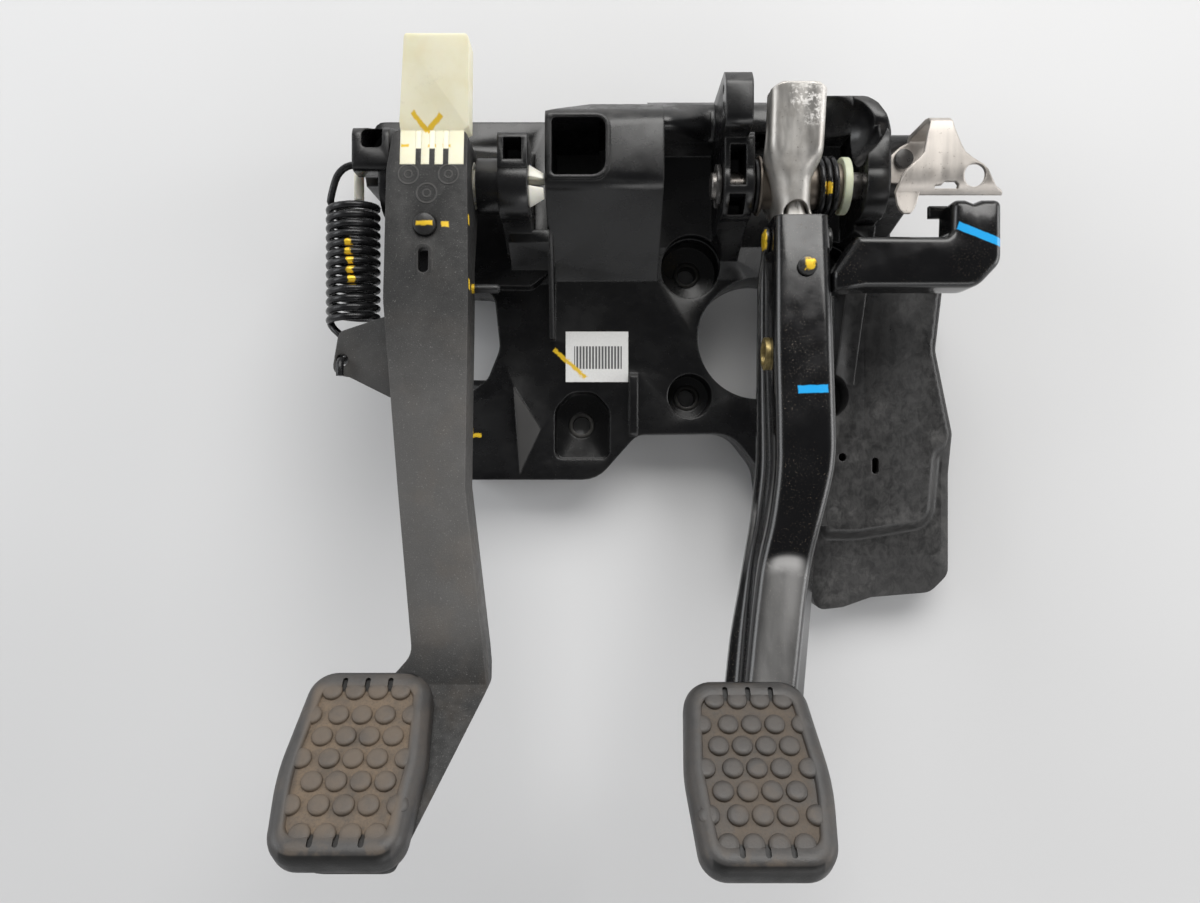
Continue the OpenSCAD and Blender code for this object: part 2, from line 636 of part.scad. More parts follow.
// Side view of the brake arm between two depths below its face
module brake_side(t0, t1, y_top, k0 = 0, k1 = 0) {
    polygon([brake_at(y_top, t0, k0), brake_at(brake_taper_y, t0, k0), brake_at(brake_low, t0, k0),
        brake_at(brake_low, t1, k1), brake_at(brake_taper_y, t1, k1), brake_at(y_top, t1, k1)]);
}
module brake_arm() {
    color([0.06, 0.06, 0.065])
    difference() {
        union() {
            intersection() {
                linear_extrude(300)
                    soft(arm_plan);
                along_x(arm_x0, arm_x1)
                    union() {
                        brake_side(0, brake_depth, 41, 0, 1);
                        // Raised end welded to the pad plate
                        polygon([[brake_weld, brake_plane(brake_weld)], [brake_low, brake_plane(brake_low)],
                            brake_at(brake_low, 2, 0), brake_at(brake_weld, 2, 0)]);
                    }
            }
            intersection() {
                linear_extrude(300)
                    soft(flange_plan);
                along_x(arm_x0, arm_x1)
                    brake_side(brake_depth - brake_sheet, brake_depth, 41, 1, 1);
            }
        }
        // Inside of the channel, open at the back
        intersection() {
            linear_extrude(300)
                soft(inset(arm_in, brake_sheet));
            along_x(arm_x0, arm_x1)
                polygon([brake_at(60, brake_sheet, 0), brake_at(brake_weld - 4, brake_sheet, 0),
                    [brake_weld - 4, 160], [brake_low - 20, 160], [brake_low - 20, 60], [60, 50]]);
        }
        // Clevis hole through both walls
        rod_x(arm_x0, arm_x1, clevis_y, clevis_z, clevis_d + 4);
        // Rivet hole and joint pin hole
        rod_x(arm_x0, arm_x1, rivet_y, rivet_z, 7);
        translate([face_pin_x, face_pin_y, 60])
            cylinder(d = 8, h = 80);
    }
}
module brake_clevis_bushes() {
    color([0.6, 0.52, 0.3])
    difference() {
        union() {
            rod_x(brake_x - 19.3, brake_x - 13, clevis_y, clevis_z, clevis_d + 4);
            rod_x(brake_x + 2, brake_x + 9, clevis_y, clevis_z, clevis_d + 4);
        }
        rod_x(arm_x0, arm_x1, clevis_y, clevis_z, clevis_d);
    }
}
lever_l = brake_x - 11.6;
lever_r = brake_x + 4.5;
lever_plan = [[brake_x - 19.6, 93, 3], [brake_x - 19.6, 77, 6], [lever_l, 60, 6], [lever_l, 12, 1],
    [lever_r, 12, 1],
    [lever_r, 93, 3]];
// Side view of the crash lever at a depth below its face
module lever_side(t) {
    polygon([[100, 106.5 - t], [93, 105 - t], [60, 96.5 - t], [44, 91.4 - t], [10, 95.8 - t], [10, 76],
        [44, 68], [pivot_y - 14, 60], [pivot_y + 10, 60], [pivot_y + 15, 92.5],
        [100, 99.5]]);
    translate([pivot_y, pivot_z])
        circle(d = 32);
}
module brake_crash_lever() {
    color([0.66, 0.64, 0.6])
    difference() {
        intersection() {
            linear_extrude(200)
                soft(lever_plan);
            along_x(arm_x0, arm_x1)
                lever_side(0);
        }
        intersection() {
            linear_extrude(200)
                soft(inset([[brake_x - 19.6, 120, 0], [brake_x - 19.6, 77, 6], [lever_l, 60, 6],
                    [lever_l, -20, 0], [lever_r, -20, 0], [lever_r, 120, 0]], lever_sheet));
            along_x(arm_x0, arm_x1)
                polygon([[110, 109 - lever_sheet], [93, 105 - lever_sheet], [60, 96.5 - lever_sheet],
                    [44, 91.4 - lever_sheet], [0, 97.1 - lever_sheet], [0, 40], [110, 40]]);
        }
        rod_x(arm_x0, arm_x1, pivot_y, pivot_z, brake_hub_d);
        rod_x(arm_x0, arm_x1, rivet_y, rivet_z, 7);
        translate([face_pin_x, face_pin_y, 60])
            cylinder(d = 6, h = 80);
        // Round opening above the upper edge of the arm
        translate([brake_x - 3.7, 42.6, 80])
            cylinder(d = 12, h = 40);
    }
}
module brake_lever_rivets() {
    color([0.7, 0.6, 0.25])
    union() {
        rod_x(brake_x - 18.4, brake_x + 10.6, rivet_y, rivet_z, 7);
        rod_x(brake_x - 18.4, brake_x - 16.2, rivet_y, rivet_z, 11);
        rod_x(brake_x + 8, brake_x + 10.6, rivet_y, rivet_z, 11);
    }
}
module brake_joint_pin() {
    color([0.75, 0.62, 0.2])
    union() {
        translate([face_pin_x, face_pin_y, 88])
            cylinder(d = 6, h = 10);
        translate([face_pin_x, face_pin_y, 95.1])
            cylinder(d = 8, h = 5);
    }
}
// Pad frame: x across, y up the pad, z out of its face
module on_pad(x, y, z) {
    translate([x, y, z])
        rotate([-pad_tilt, 0, 0])
            children();
}
// Outline of a pad with its bowed outer side on the right, shrunk by t
module pad_outline(t) {
    soft(inset([[-pad_w / 2 + 2, pad_l / 2, 11], [-pad_w / 2, 0, 60], [-pad_w / 2 + 1, -pad_l / 2, 9],
        [pad_w / 2 - 3, -pad_l / 2, 10], [pad_w / 2 + 0.5, -2, 40], [pad_w / 2 - 4, pad_l / 2, 11]], t), 5);
}
module pad_rubber() {
    difference() {
        translate([0, 0, -pad_t])
            linear_extrude(pad_t)
                pad_outline(0);
        translate([0, 0, -stud_h])
            linear_extrude(10)
                pad_outline(6.2);
    }
    // Round studs in five staggered rows
    for (r = [-2:2]) {
        count = r % 2 == 0 ? 3 : 4;
        for (i = [0:count - 1])
            translate([(i - (count - 1) / 2) * stud_pitch, r * stud_pitch, -stud_h - 1])
                cylinder(d = stud_d, h = stud_h + 1);
    }
    // Bars between the slits at both ends
    for (e = [-1, 1])
        for (i = [-1.5:1.5])
            translate([i * stud_pitch - 3, e * (pad_l / 2 - 9.2) - 3.2, -stud_h - 1])
                cube([6, 6.4, stud_h + 0.8]);
}
module brake_pad_plate() {
    color([0.08, 0.08, 0.085])
    on_pad(brake_pad_x, brake_pad_c_y, brake_pad_c_z)
        translate([0, 0, -pad_t - 4])
            linear_extrude(4)
                pad_outline(4);
}
module brake_pad() {
    color([0.16, 0.155, 0.15])
    on_pad(brake_pad_x, brake_pad_c_y, brake_pad_c_z)
        pad_rubber();
}
module clutch_pad() {
    color([0.16, 0.155, 0.15])
    on_pad(clutch_pad_x, pad_c_y, pad_c_z)
        mirror([1, 0, 0])
            pad_rubber();
}
// Torsion spring around the hub tube, one leg under the arm and one on the bracket wall
coil_d = 2.6;
coil_r = brake_hub_d / 2 + coil_d / 2 + 0.5;
coil_x0 = lever_r + coil_d / 2 + 0.4;
coil_pitch = coil_d + 0.35;
coil_sweep = 1020;
coil_start = 240;
module brake_return_spring() {
    n = 51;
    path = concat(
        [for (y = [28, 40]) [coil_x0, y, brake_z(y) - brake_depth - coil_d / 2 - 0.3]],
        [for (i = [0:n])
            let (a = coil_start + coil_sweep * i / n)
            [coil_x0 + coil_pitch * coil_sweep / 360 * i / n, pivot_y + coil_r * cos(a),
                pivot_z + coil_r * sin(a)]],
        [[coil_x0 + coil_pitch * coil_sweep / 360, pivot_y - coil_r, 38.4]]);
    color([0.05, 0.05, 0.05])
        wire(path, coil_d, 8);
}
// Black channel that backs off the stop lamp switch when the brake moves
module switch_flag_arm() {
    x = brake_x;
    flag = [[x + 8, 8, 0], [x + 20.6, 9.5, 3], [x + 68, 9.5, 10], [x + 78, 20, 8], [x + 78, 46.2, 3],
        [x + 70, 46.2, 0], [x + 66.5, 44.8, 0], [x + 63, 46.2, 0], [x + 57.5, 46.2, 2.5], [x + 57, 31, 3],
        [x + 18, 31, 2.5], [x + 8, 16, 1]];
    color([0.06, 0.06, 0.065])
    difference() {
        translate([0, 0, 84])
            linear_extrude(16)
                soft(flag);
        translate([0, 0, 80])
            linear_extrude(17)
                soft(inset([[x - 1, 8, 0], [x + 20.6, 9.5, 3], [x + 68, 9.5, 10], [x + 78, 20, 8],
                    [x + 78, 46.2, 3], [x + 57.5, 46.2, 2.5], [x + 57, 31, 3], [x + 18, 31, 2.5],
                    [x + 8, 16, 1], [x - 1, 16, 0]], 2.5));
    }
    // Small tab at the upper left corner
    color([0.06, 0.06, 0.065])
    box(x + 50.8, x + 58.5, 40.6, 45.6, 88, 90.4);
}
// Right edge of the switch plate
switch_r = brake_x + 76.5;
module switch_bracket() {
    t = 2;
    color([0.62, 0.6, 0.56])
    difference() {
        union() {
            // Foot on the bracket block
            box(tower_c1 + 1, tower_c1 + 17.5, 58, 78, 80, 80 + t);
            // Riser
            box(tower_c1 + 8.5, tower_c1 + 17.5, 78 - t, 78, 80, 108);
            // Switch plate, flaring to its lower edge
            translate([0, 0, 108 - t])
                linear_extrude(t)
                    soft([[tower_c1 + 8.5, 78, 0], [tower_c1 + 8.5, 69, 5], [tower_c1 - 2, 55, 4],
                        [tower_c1 - 2, 47, 1], [switch_r, 47, 1], [switch_r, 51, 2], [tower_c1 + 27, 60, 8],
                        [tower_c1 + 17.5, 70, 8], [tower_c1 + 17.5, 78, 0]]);
            // Lobe under the left corner
            translate([0, 0, 102.5])
                linear_extrude(t)
                    soft([[tower_c1 - 2, 49, 0], [tower_c1 - 2, 41, 3], [tower_c1 + 1, 38.8, 2],
                        [tower_c1 + 4.5, 38.8, 2], [tower_c1 + 7, 44, 3], [tower_c1 + 7, 49, 0]]);
            // Turned edge
            box(tower_c1 - 2, switch_r, 47, 47 + t, 102.5, 108);
            // Tab beside the plate
            box(tower_c1 - 2, tower_c1 - 2 + t, 47, 56, 96, 107);
        }
        translate([tower_c1 + 6, 68, 60])
            cylinder(d = 4.2, h = 30);
        translate([tower_c1 + 13, 72, 100])
            cylinder(d = 5, h = 30);
        // Switch hole
        translate([switch_r - 13, 54, 100])
            cylinder(d = 9, h = 30);
    }
}
module switch_bracket_screws() {
    color([0.5, 0.5, 0.5])
    translate([tower_c1 + 6, 68, 0]) {
        translate([0, 0, 68])
            cylinder(d = 4.2, h = 15);
        translate([0, 0, 82])
            cylinder(d = 8, h = 3);
    }
}
// Clutch arm
foot_t = 12;
clutch_back_y = pad_c_y - pad_t * pad_sin;
clutch_back_z = pad_c_z - pad_t * pad_cos;
// Plan of the clutch arm from the middle of its hub
clutch_plan = hang(clutch_x, [[-15, 77, 3], [-17.5, 60, 6], [-17.3, 4, 20], [-13, -38, 20], [-9, -75, 20],
    [-1.7, -139, 8], [-29, -170, 6], [-29, -205, 6], [1, -205, 6], [28.1, -152.7, 5], [26.7, -139, 10],
    [18, -74, 20], [17.8, 4, 20], [16.5, 60, 6], [16.5, 77, 3]]);
clutch_in = hang(clutch_x, [[-17.3, 34, 0], [-17.3, 4, 20], [-13, -38, 20], [-9, -75, 20], [-2, -134, 4],
    [26, -134, 4], [18, -74, 20], [17.8, 4, 20], [17, 34, 0]]);
clutch_x0 = clutch_x - 50;
clutch_x1 = clutch_x + 50;
// Places on the clutch arm face
screw_x = clutch_x - 0.6;
screw_y = 35.7;
slot_x = clutch_x - 1;
slot_y = 20.6;
side_pin_y = 10.8;
side_pin_z = 88;
module clutch_side() {
    e = meet(clutch_face, 60, clutch_rise, clutch_back_y, clutch_back_z);
    by = clutch_back_y - foot_t * pad_sin;
    bz = clutch_back_z - foot_t * pad_cos;
    f = meet(clutch_face - clutch_depth, 60, clutch_rise, by, bz);
    polygon([[77, clutch_z(77)], [e, clutch_z(e)],
        [clutch_back_y - 33 * pad_cos, clutch_back_z + 33 * pad_sin],
        [by - 33 * pad_cos, bz + 33 * pad_sin],
        [f, clutch_z(f) - clutch_depth], [20, clutch_z(20) - clutch_depth], [pivot_y - 12, pivot_z - 6],
        [pivot_y, pivot_z - clutch_hub_d / 2], [pivot_y + 12, pivot_z - 6], [77, clutch_z(77) - 18]]);
}
clutch_ribs = [-112, -84, -56, -28, 0];
clutch_bush_d = (clutch_pin_d + clutch_hub_d) / 2;
// Sides of the crash lever where it is keyed into the arm
ins_l = clutch_x - 12;
ins_r = clutch_x + 16.5;
module clutch_arm() {
    color([0.11, 0.11, 0.11])
    difference() {
        union() {
            intersection() {
                linear_extrude(300)
                    soft(clutch_plan);
                along_x(clutch_x0, clutch_x1)
                    clutch_side();
            }
            rod_x(clutch_l, clutch_r, pivot_y, pivot_z, clutch_hub_d);
            // Wing for the assist spring
            translate([0, 0, wing_z - 6])
                linear_extrude(6)
                    soft([[clutch_x - 9, 2, 0], [wing_x - 1.5, wing_y + 12, 4], [wing_x - 4.5, wing_y - 6, 4],
                        [wing_x + 2.5, wing_y - 7, 3], [clutch_x - 9, wing_y - 20, 0]]);
            // Rim of the slot
            translate([slot_x, slot_y, 80])
                linear_extrude(clutch_z(slot_y) - 79.2)
                    soft([[-3.8, -7, 3.7], [3.8, -7, 3.7], [3.8, 7, 3.7], [-3.8, 7, 3.7]]);
        }
        // Pockets between the ribs at the back
        difference() {
            intersection() {
                linear_extrude(300)
                    soft(inset(clutch_in, clutch_wall));
                along_x(clutch_x0, clutch_x1)
                    polygon([[60, clutch_z(60) - clutch_wall], [-180, clutch_z(-180) - clutch_wall], [-180, 40],
                        [60, 40]]);
            }
            for (y = clutch_ribs)
                box(clutch_x0, clutch_x1, down(y), down(y) + rib, 40, 140);
            translate([0, 0, 40])
                linear_extrude(100)
                    soft(hang(clutch_x, [[1, 40], [3.5, 40], [13, -140], [10.5, -140]]));
        }
        // Bush bore
        rod_x(clutch_l - 1, clutch_r + 1, pivot_y, pivot_z, clutch_bush_d);
        // Pocket for the crash lever
        box(ins_l, ins_r - 1.5, 62, 90, 82, 120);
        // Slot through the face
        translate([slot_x, slot_y, 60])
            linear_extrude(60)
                soft([[-2.2, -5.2, 2.1], [2.2, -5.2, 2.1], [2.2, 5.2, 2.1], [-2.2, 5.2, 2.1]]);
        // Screw hole and flat seat of its head
        translate([screw_x, screw_y, 84])
            cylinder(d = 5, h = 40);
        translate([screw_x, screw_y, clutch_z(screw_y) - 0.6])
            cylinder(d = 10, h = 20);
        // Hole for the lower spring hook
        translate([wing_x, wing_y, 70])
            cylinder(d = spring_wire + 2, h = 40);
        // Seat of the side pin
        rod_x(clutch_x + 13, clutch_x + 30, side_pin_y, side_pin_z, 4);
    }
    // Fingers that key the crash lever
    color([0.11, 0.11, 0.11])
    for (x = finger_x)
        intersection() {
            box(x - finger / 2, x + finger / 2, 61, 77, 80, 140);
            along_x(clutch_x0, clutch_x1)
                polygon([[77, clutch_z(77)], [61, clutch_z(61)], [61, 80], [77, 84]]);
        }
}
module clutch_crash_lever() {
    color([0.91, 0.88, 0.74])
    difference() {
        intersection() {
            linear_extrude(200)
                soft([[ins_l, 62, 0], [ins_r - 1.5, 62, 0], [ins_r - 1.5, 77.3, 0], [ins_r + 0.5, 78.5, 0],
                    [ins_r + 3, 109.5, 1.5], [ins_l + 5.5, 109.5, 1.5], [ins_l, 80, 0]]);
            along_x(clutch_x0, clutch_x1)
                polygon([[62, 82], [78, 82], [110, 98], [110, 112], [78, clutch_z(78) + 1.2],
                    [77, clutch_z(77)],
                    [62, clutch_z(62)]]);
        }
        for (x = finger_x)
            box(x - finger / 2, x + finger / 2, 60, 77, 80, 140);
    }
}
module clutch_lever_screw() {
    color([0.12, 0.12, 0.12])
    union() {
        translate([screw_x, screw_y, 85])
            cylinder(d = 5, h = clutch_z(screw_y) - 85);
        translate([screw_x, screw_y, clutch_z(screw_y) - 0.6])
            cylinder(d = 9.4, h = 3);
    }
}
module clutch_bushes() {
    color([0.85, 0.85, 0.8])
    difference() {
        union() {
            rod_x(clutch_l, clutch_l + 13, pivot_y, pivot_z, clutch_bush_d);
            rod_x(clutch_r - 13, clutch_r, pivot_y, pivot_z, clutch_bush_d);
        }
        rod_x(clutch_l - 1, clutch_r + 1, pivot_y, pivot_z, clutch_pin_d + 2 * run_fit);
    }
}
module clutch_pivot_pin() {
    color([0.93, 0.92, 0.86])
    difference() {
        union() {
            rod_x(cheek_a0, tower_a1 + 1, pivot_y, pivot_z, clutch_pin_d);
            translate([tower_a1, pivot_y, pivot_z])
                rotate([0, 90, 0])
                    cylinder(d1 = clutch_pin_d + 4.5, d2 = clutch_pin_d - 3, h = 6.4);
        }
        // Split end
        box(tower_a1 - 12, tower_a1 + 8, pivot_y - 2, pivot_y + 2, 40, 100);
        // Bored middle
        rod_x(cheek_a0 - 1, tower_a1 + 8, pivot_y, pivot_z, clutch_pin_d - 6);
    }
}
module clutch_switch_pin() {
    color([0.08, 0.08, 0.08])
    union() {
        rod_x(clutch_x + 13, clutch_x + 29, side_pin_y, side_pin_z, 4);
        rod_x(clutch_x + 29, clutch_x + 29.6, side_pin_y, side_pin_z, 3);
    }
}
module clutch_assist_spring() {
    r = (spring_d - spring_wire) / 2;
    top = 50;
    low = -2;
    n = 20;
    steps = n * spring_turns;
    path = concat(
        [[ear_l + 7, hook_y, anchor_z], [ear_l - 1, hook_y, anchor_z], [anchor_x - 2.6, hook_y - 0.6, anchor_z],
        [anchor_x - 5.4, hook_y - 2.4, anchor_z], [anchor_x - 7.4, hook_y - 5.2, anchor_z],
        [anchor_x - 8.6, hook_y - 8.6, anchor_z], [anchor_x - 9.6, hook_y - 12.6, anchor_z]],
        [for (i = [1:steps])
            let (a = 180 + 360 * i / n)
            [anchor_x + r * cos(a), top - (top - low) * i / steps, anchor_z + r * sin(a)]],
        [[anchor_x - r * 0.8, low - 3, anchor_z + 2], [anchor_x - 2.4, low - 9, anchor_z + 2.5],
        [wing_x, wing_y + 2, anchor_z + 3.4], [wing_x, wing_y, wing_z - 4], [wing_x, wing_y, wing_z + 1],
        [wing_x, wing_y - 2, wing_z + 3.4], [wing_x, wing_y - 7, wing_z + 3.6]]);
    color([0.05, 0.05, 0.05])
        wire(path, spring_wire, 8);
}
// Peg on the ear beside the upper hook
module peg() {
    translate([ear_l - 1.6, 53.5, anchor_z - 8])
        rotate([-90, 0, 0])
            cylinder(d = peg_d, h = 20.5);
}
module spring_anchor_bush() {
    color([0.9, 0.9, 0.86])
        peg();
}

bracket();
bolt_sleeves();
part_label();
brake_pivot_pin();
brake_pivot_clip();
brake_hub_tube();
brake_bushes();
brake_arm();
brake_clevis_bushes();
brake_crash_lever();
brake_lever_rivets();
brake_joint_pin();
brake_pad_plate();
brake_pad();
brake_return_spring();
brake_spring_collar();
switch_flag_arm();
switch_bracket();
switch_bracket_screws();
clutch_arm();
clutch_bushes();
clutch_pivot_pin();
clutch_crash_lever();
clutch_lever_screw();
clutch_switch_pin();
clutch_pad();
clutch_assist_spring();
spring_anchor_bush();
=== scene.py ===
"""Pedal box: finishes, rubber pads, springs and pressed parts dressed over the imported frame."""

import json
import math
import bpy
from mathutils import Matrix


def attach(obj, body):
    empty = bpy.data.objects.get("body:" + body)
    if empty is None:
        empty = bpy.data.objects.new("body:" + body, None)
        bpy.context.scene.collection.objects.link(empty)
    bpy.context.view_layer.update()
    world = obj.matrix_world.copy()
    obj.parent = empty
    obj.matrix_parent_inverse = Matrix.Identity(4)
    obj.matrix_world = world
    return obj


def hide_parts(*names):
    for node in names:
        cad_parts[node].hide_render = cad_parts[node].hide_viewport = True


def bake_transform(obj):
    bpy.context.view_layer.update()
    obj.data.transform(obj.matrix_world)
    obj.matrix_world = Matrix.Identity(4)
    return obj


bl_info = {
    "name": "Pedal Box",
    "version": (1, 0, 0),
    "blender": (4, 5, 0),
    "location": "View3D > Sidebar > Pedal Box",
    "description": "Dresses a packed pedal box with its rubber pads, springs, finishes and a plain stage",
    "category": "Object",
}

from functools import reduce

import bmesh
import bpy
from bpy.props import FloatProperty, FloatVectorProperty, IntProperty, PointerProperty
from mathutils import Matrix, Vector

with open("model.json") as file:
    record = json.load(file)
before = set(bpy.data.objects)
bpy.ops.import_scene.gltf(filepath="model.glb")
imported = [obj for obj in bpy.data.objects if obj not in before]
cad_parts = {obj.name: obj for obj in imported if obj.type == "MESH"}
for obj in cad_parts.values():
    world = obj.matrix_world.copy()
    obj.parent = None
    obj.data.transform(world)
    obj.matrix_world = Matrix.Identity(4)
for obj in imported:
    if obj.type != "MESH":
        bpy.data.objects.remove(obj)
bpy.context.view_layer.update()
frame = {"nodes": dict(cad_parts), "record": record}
MM = 0.001
PAD_TILT = math.radians(-45)


def colour(label, note, value):
    return FloatVectorProperty(name=label, description=note, subtype="COLOR", size=3, min=0.0, max=1.0,
                               default=value)


def length(label, note, value):
    return FloatProperty(name=label, description=note, subtype="DISTANCE", unit="LENGTH", default=value)


class PedalBoxColours(bpy.types.PropertyGroup):
    moulding: colour("Moulding", "Black plastic of the bracket", (0.0045, 0.0045, 0.005))
    dust: colour("Dust", "Grey film on the plastic", (0.16, 0.155, 0.15))
    arm_plastic: colour("Clutch arm", "Grained black plastic of the clutch arm", (0.012, 0.012, 0.012))
    gloss: colour("Dip coat", "Gloss black coat of the brake arm", (0.004, 0.004, 0.0045))
    steel: colour("Bare steel", "Bare pressed sheet", (0.56, 0.54, 0.51))
    ivory: colour("Ivory", "Natural plastic of the clutch lever", (0.90, 0.86, 0.66))
    white: colour("White", "Natural white plastic", (0.84, 0.82, 0.74))
    pale_green: colour("Collar", "Pale plastic of the spring collar", (0.62, 0.66, 0.50))
    rubber: colour("Rubber", "Worn rubber of the pads", (0.042, 0.040, 0.039))
    grit: colour("Grit", "Brown dust in the pads", (0.17, 0.125, 0.085))
    yellow: colour("Yellow paint", "Inspection marks", (0.80, 0.52, 0.03))
    blue: colour("Blue paint", "Inspection stripes", (0.02, 0.35, 0.75))
    paper: colour("Paper", "Bare label", (0.80, 0.80, 0.79))
    brass: colour("Bush", "Sintered bush", (0.36, 0.28, 0.12))
    floor: colour("Floor", "Pale floor", (0.66, 0.66, 0.665))


class PedalBoxSizes(bpy.types.PropertyGroup):
    spring_wire: length("Spring wire", "Wire of the assist spring", 3.2 * MM)
    spring_d: length("Spring diameter", "Outside of the assist spring", 23.5 * MM)
    spring_turns: IntProperty(name="Spring turns", description="Turns of the assist spring", default=13, min=3,
                              max=30)
    return_wire: length("Return wire", "Wire of the torsion spring", 2.6 * MM)
    return_d: length("Return diameter", "Mean diameter of the torsion spring", 23.6 * MM)
    pad_w: length("Pad width", "Width of a rubber pad", 51.5 * MM)
    pad_l: length("Pad length", "Length of a rubber pad", 72 * MM)
    pad_t: length("Pad thickness", "Thickness of a rubber pad", 12 * MM)
    stud_d: length("Stud diameter", "Round studs of the pads", 7.7 * MM)
    stud_pitch: length("Stud pitch", "Spacing of the studs", 8.6 * MM)
    stud_h: length("Stud height", "Height of the studs over the field", 1.6 * MM)
    slit_w: length("Slit width", "Width of the slits at the ends of the field", 2.0 * MM)


class PedalBoxView(bpy.types.PropertyGroup):
    camera: FloatVectorProperty(name="Camera", description="Place of the camera", subtype="TRANSLATION",
                                default=(-0.0785, -0.059, 0.474))
    lens: FloatProperty(name="Lens", description="Focal length on a 36 mm sensor, in millimetres", default=27.0)


def colours():
    return bpy.context.scene.pedal_box_colours


def sizes():
    return bpy.context.scene.pedal_box_sizes


class Nodes:
    """A node tree that is built up node by node."""

    def __init__(self, tree):
        self.tree = tree

    def add(self, kind, links=(), **settings):
        """Adds a node; links gives its inputs sockets or plain values."""
        node = self.tree.nodes.new(kind)
        for key, value in settings.items():
            setattr(node, key, value)
        for key, value in dict(links).items():
            self.feed(node.inputs[key], value)
        return node

    def feed(self, socket, value):
        if isinstance(value, bpy.types.NodeSocket):
            self.tree.links.new(value, socket)
        elif value is not None:
            socket.default_value = value

    def math(self, operation, a, b=None, clamp=False):
        return self.add("ShaderNodeMath", {0: a, 1: b}, operation=operation, use_clamp=clamp).outputs[0]

    def times(self, *values):
        return reduce(lambda a, b: self.math("MULTIPLY", a, b), values)

    def most(self, *values):
        return reduce(lambda a, b: self.math("MAXIMUM", a, b), values)

    def plus(self, a, b, clamp=False):
        return self.math("ADD", a, b, clamp)

    def less(self, a, b):
        return self.math("SUBTRACT", a, b)

    def size(self, value):
        return self.math("ABSOLUTE", value)

    def split(self, vector):
        return self.add("ShaderNodeSeparateXYZ", {0: vector}).outputs


class Finish(Nodes):
    """One procedural material, built up on its Principled shader; base is its colour so far."""

    SOCKETS = {"metal": "Metallic", "rough": "Roughness", "spec": "Specular IOR Level", "coat": "Coat Weight",
               "coat_rough": "Coat Roughness", "sub": "Subsurface Weight", "normal": "Normal"}

    def __init__(self, name, base):
        self.material = bpy.data.materials.new(name)
        self.material.use_nodes = True
        super().__init__(self.material.node_tree)
        self.shader = self.tree.nodes["Principled BSDF"]
        self.place = self.add("ShaderNodeTexCoord").outputs["Object"]
        self.base = base

    def done(self, **values):
        """Feeds the shader and hands the material over."""
        self.feed(self.shader.inputs["Base Color"], self.base)
        for key, value in values.items():
            self.feed(self.shader.inputs[self.SOCKETS[key]], value)
        return self.material

    def span(self, value, low, high, out_low=0.0, out_high=1.0):
        """Smooth step of a value from low to high."""
        return self.add("ShaderNodeMapRange", enumerate((value, low, high, out_low, out_high)),
                        interpolation_type="SMOOTHSTEP", clamp=True).outputs[0]

    def noise(self, scale, detail=3.0, rough=0.55, stretch=None, warp=0.0):
        place = self.place
        if stretch:
            place = self.add("ShaderNodeMapping", {"Scale": stretch, "Vector": place}).outputs[0]
        return self.add("ShaderNodeTexNoise", {"Vector": place, "Scale": scale, "Detail": detail,
                                               "Roughness": rough, "Distortion": warp}).outputs[0]

    def mix(self, factor, a, b):
        tones = [tone if isinstance(tone, bpy.types.NodeSocket) else (*tone[:3], 1.0) for tone in (a, b)]
        return self.add("ShaderNodeMix", {0: factor, 6: tones[0], 7: tones[1]}, data_type="RGBA").outputs[2]

    def cover(self, tone, *masks):
        """Lays a tone over the base where the product of the masks says so."""
        self.base = self.mix(self.times(*masks), self.base, tone)

    def local(self, place, turn):
        """Axes of a frame of its own, at a place and turned."""
        links = {"Location": place, "Rotation": turn, "Vector": self.place}
        return self.split(self.add("ShaderNodeMapping", links, vector_type="TEXTURE").outputs[0])

    def bump(self, height, strength, distance, normal=None):
        return self.add("ShaderNodeBump", {"Strength": strength, "Distance": distance, "Height": height,
                                           "Normal": normal}).outputs[0]

    def soft_edge(self, radius):
        return self.add("ShaderNodeBevel", {"Radius": radius}, samples=4).outputs[0]

    def normal(self):
        return self.add("ShaderNodeNewGeometry").outputs["Normal"]

    def edge_wear(self, radius, low=0.02, high=0.25):
        """Near 1 on sharp edges and 0 on flats."""
        dot = self.add("ShaderNodeVectorMath", {0: self.soft_edge(radius), 1: self.normal()},
                       operation="DOT_PRODUCT")
        return self.span(self.less(1.0, dot.outputs["Value"]), low, high)

    def patch(self, x, y, ragged=0.0, angle=0.0, soft=0.0004, z=None, under=None):
        """Mask of a brushed patch centred in x and y, with half sizes, ragged by noise."""
        (cx, hx), (cy, hy) = x, y
        blur = 0.0002
        u, v, h = self.local((cx, cy, 0.0), (0.0, 0.0, angle))
        wobble = self.times(self.less(self.noise(420, 3), 0.5), ragged)
        over = [self.plus(self.less(self.size(socket), half), wobble) for socket, half in ((u, hx), (v, hy))]
        mask = self.span(self.most(*over), soft, -soft)
        if z:
            mask = self.times(mask, self.span(h, z - blur, z + blur))
        if under:
            mask = self.times(mask, self.span(h, under + blur, under - blur))
        return mask

    def marks(self, patches, tone=None):
        """Paints patches, in yellow if no tone is given."""
        if patches:
            mask = self.most(*[self.patch(*p) for p in patches])
            self.cover(colours().yellow if tone is None else tone, mask)


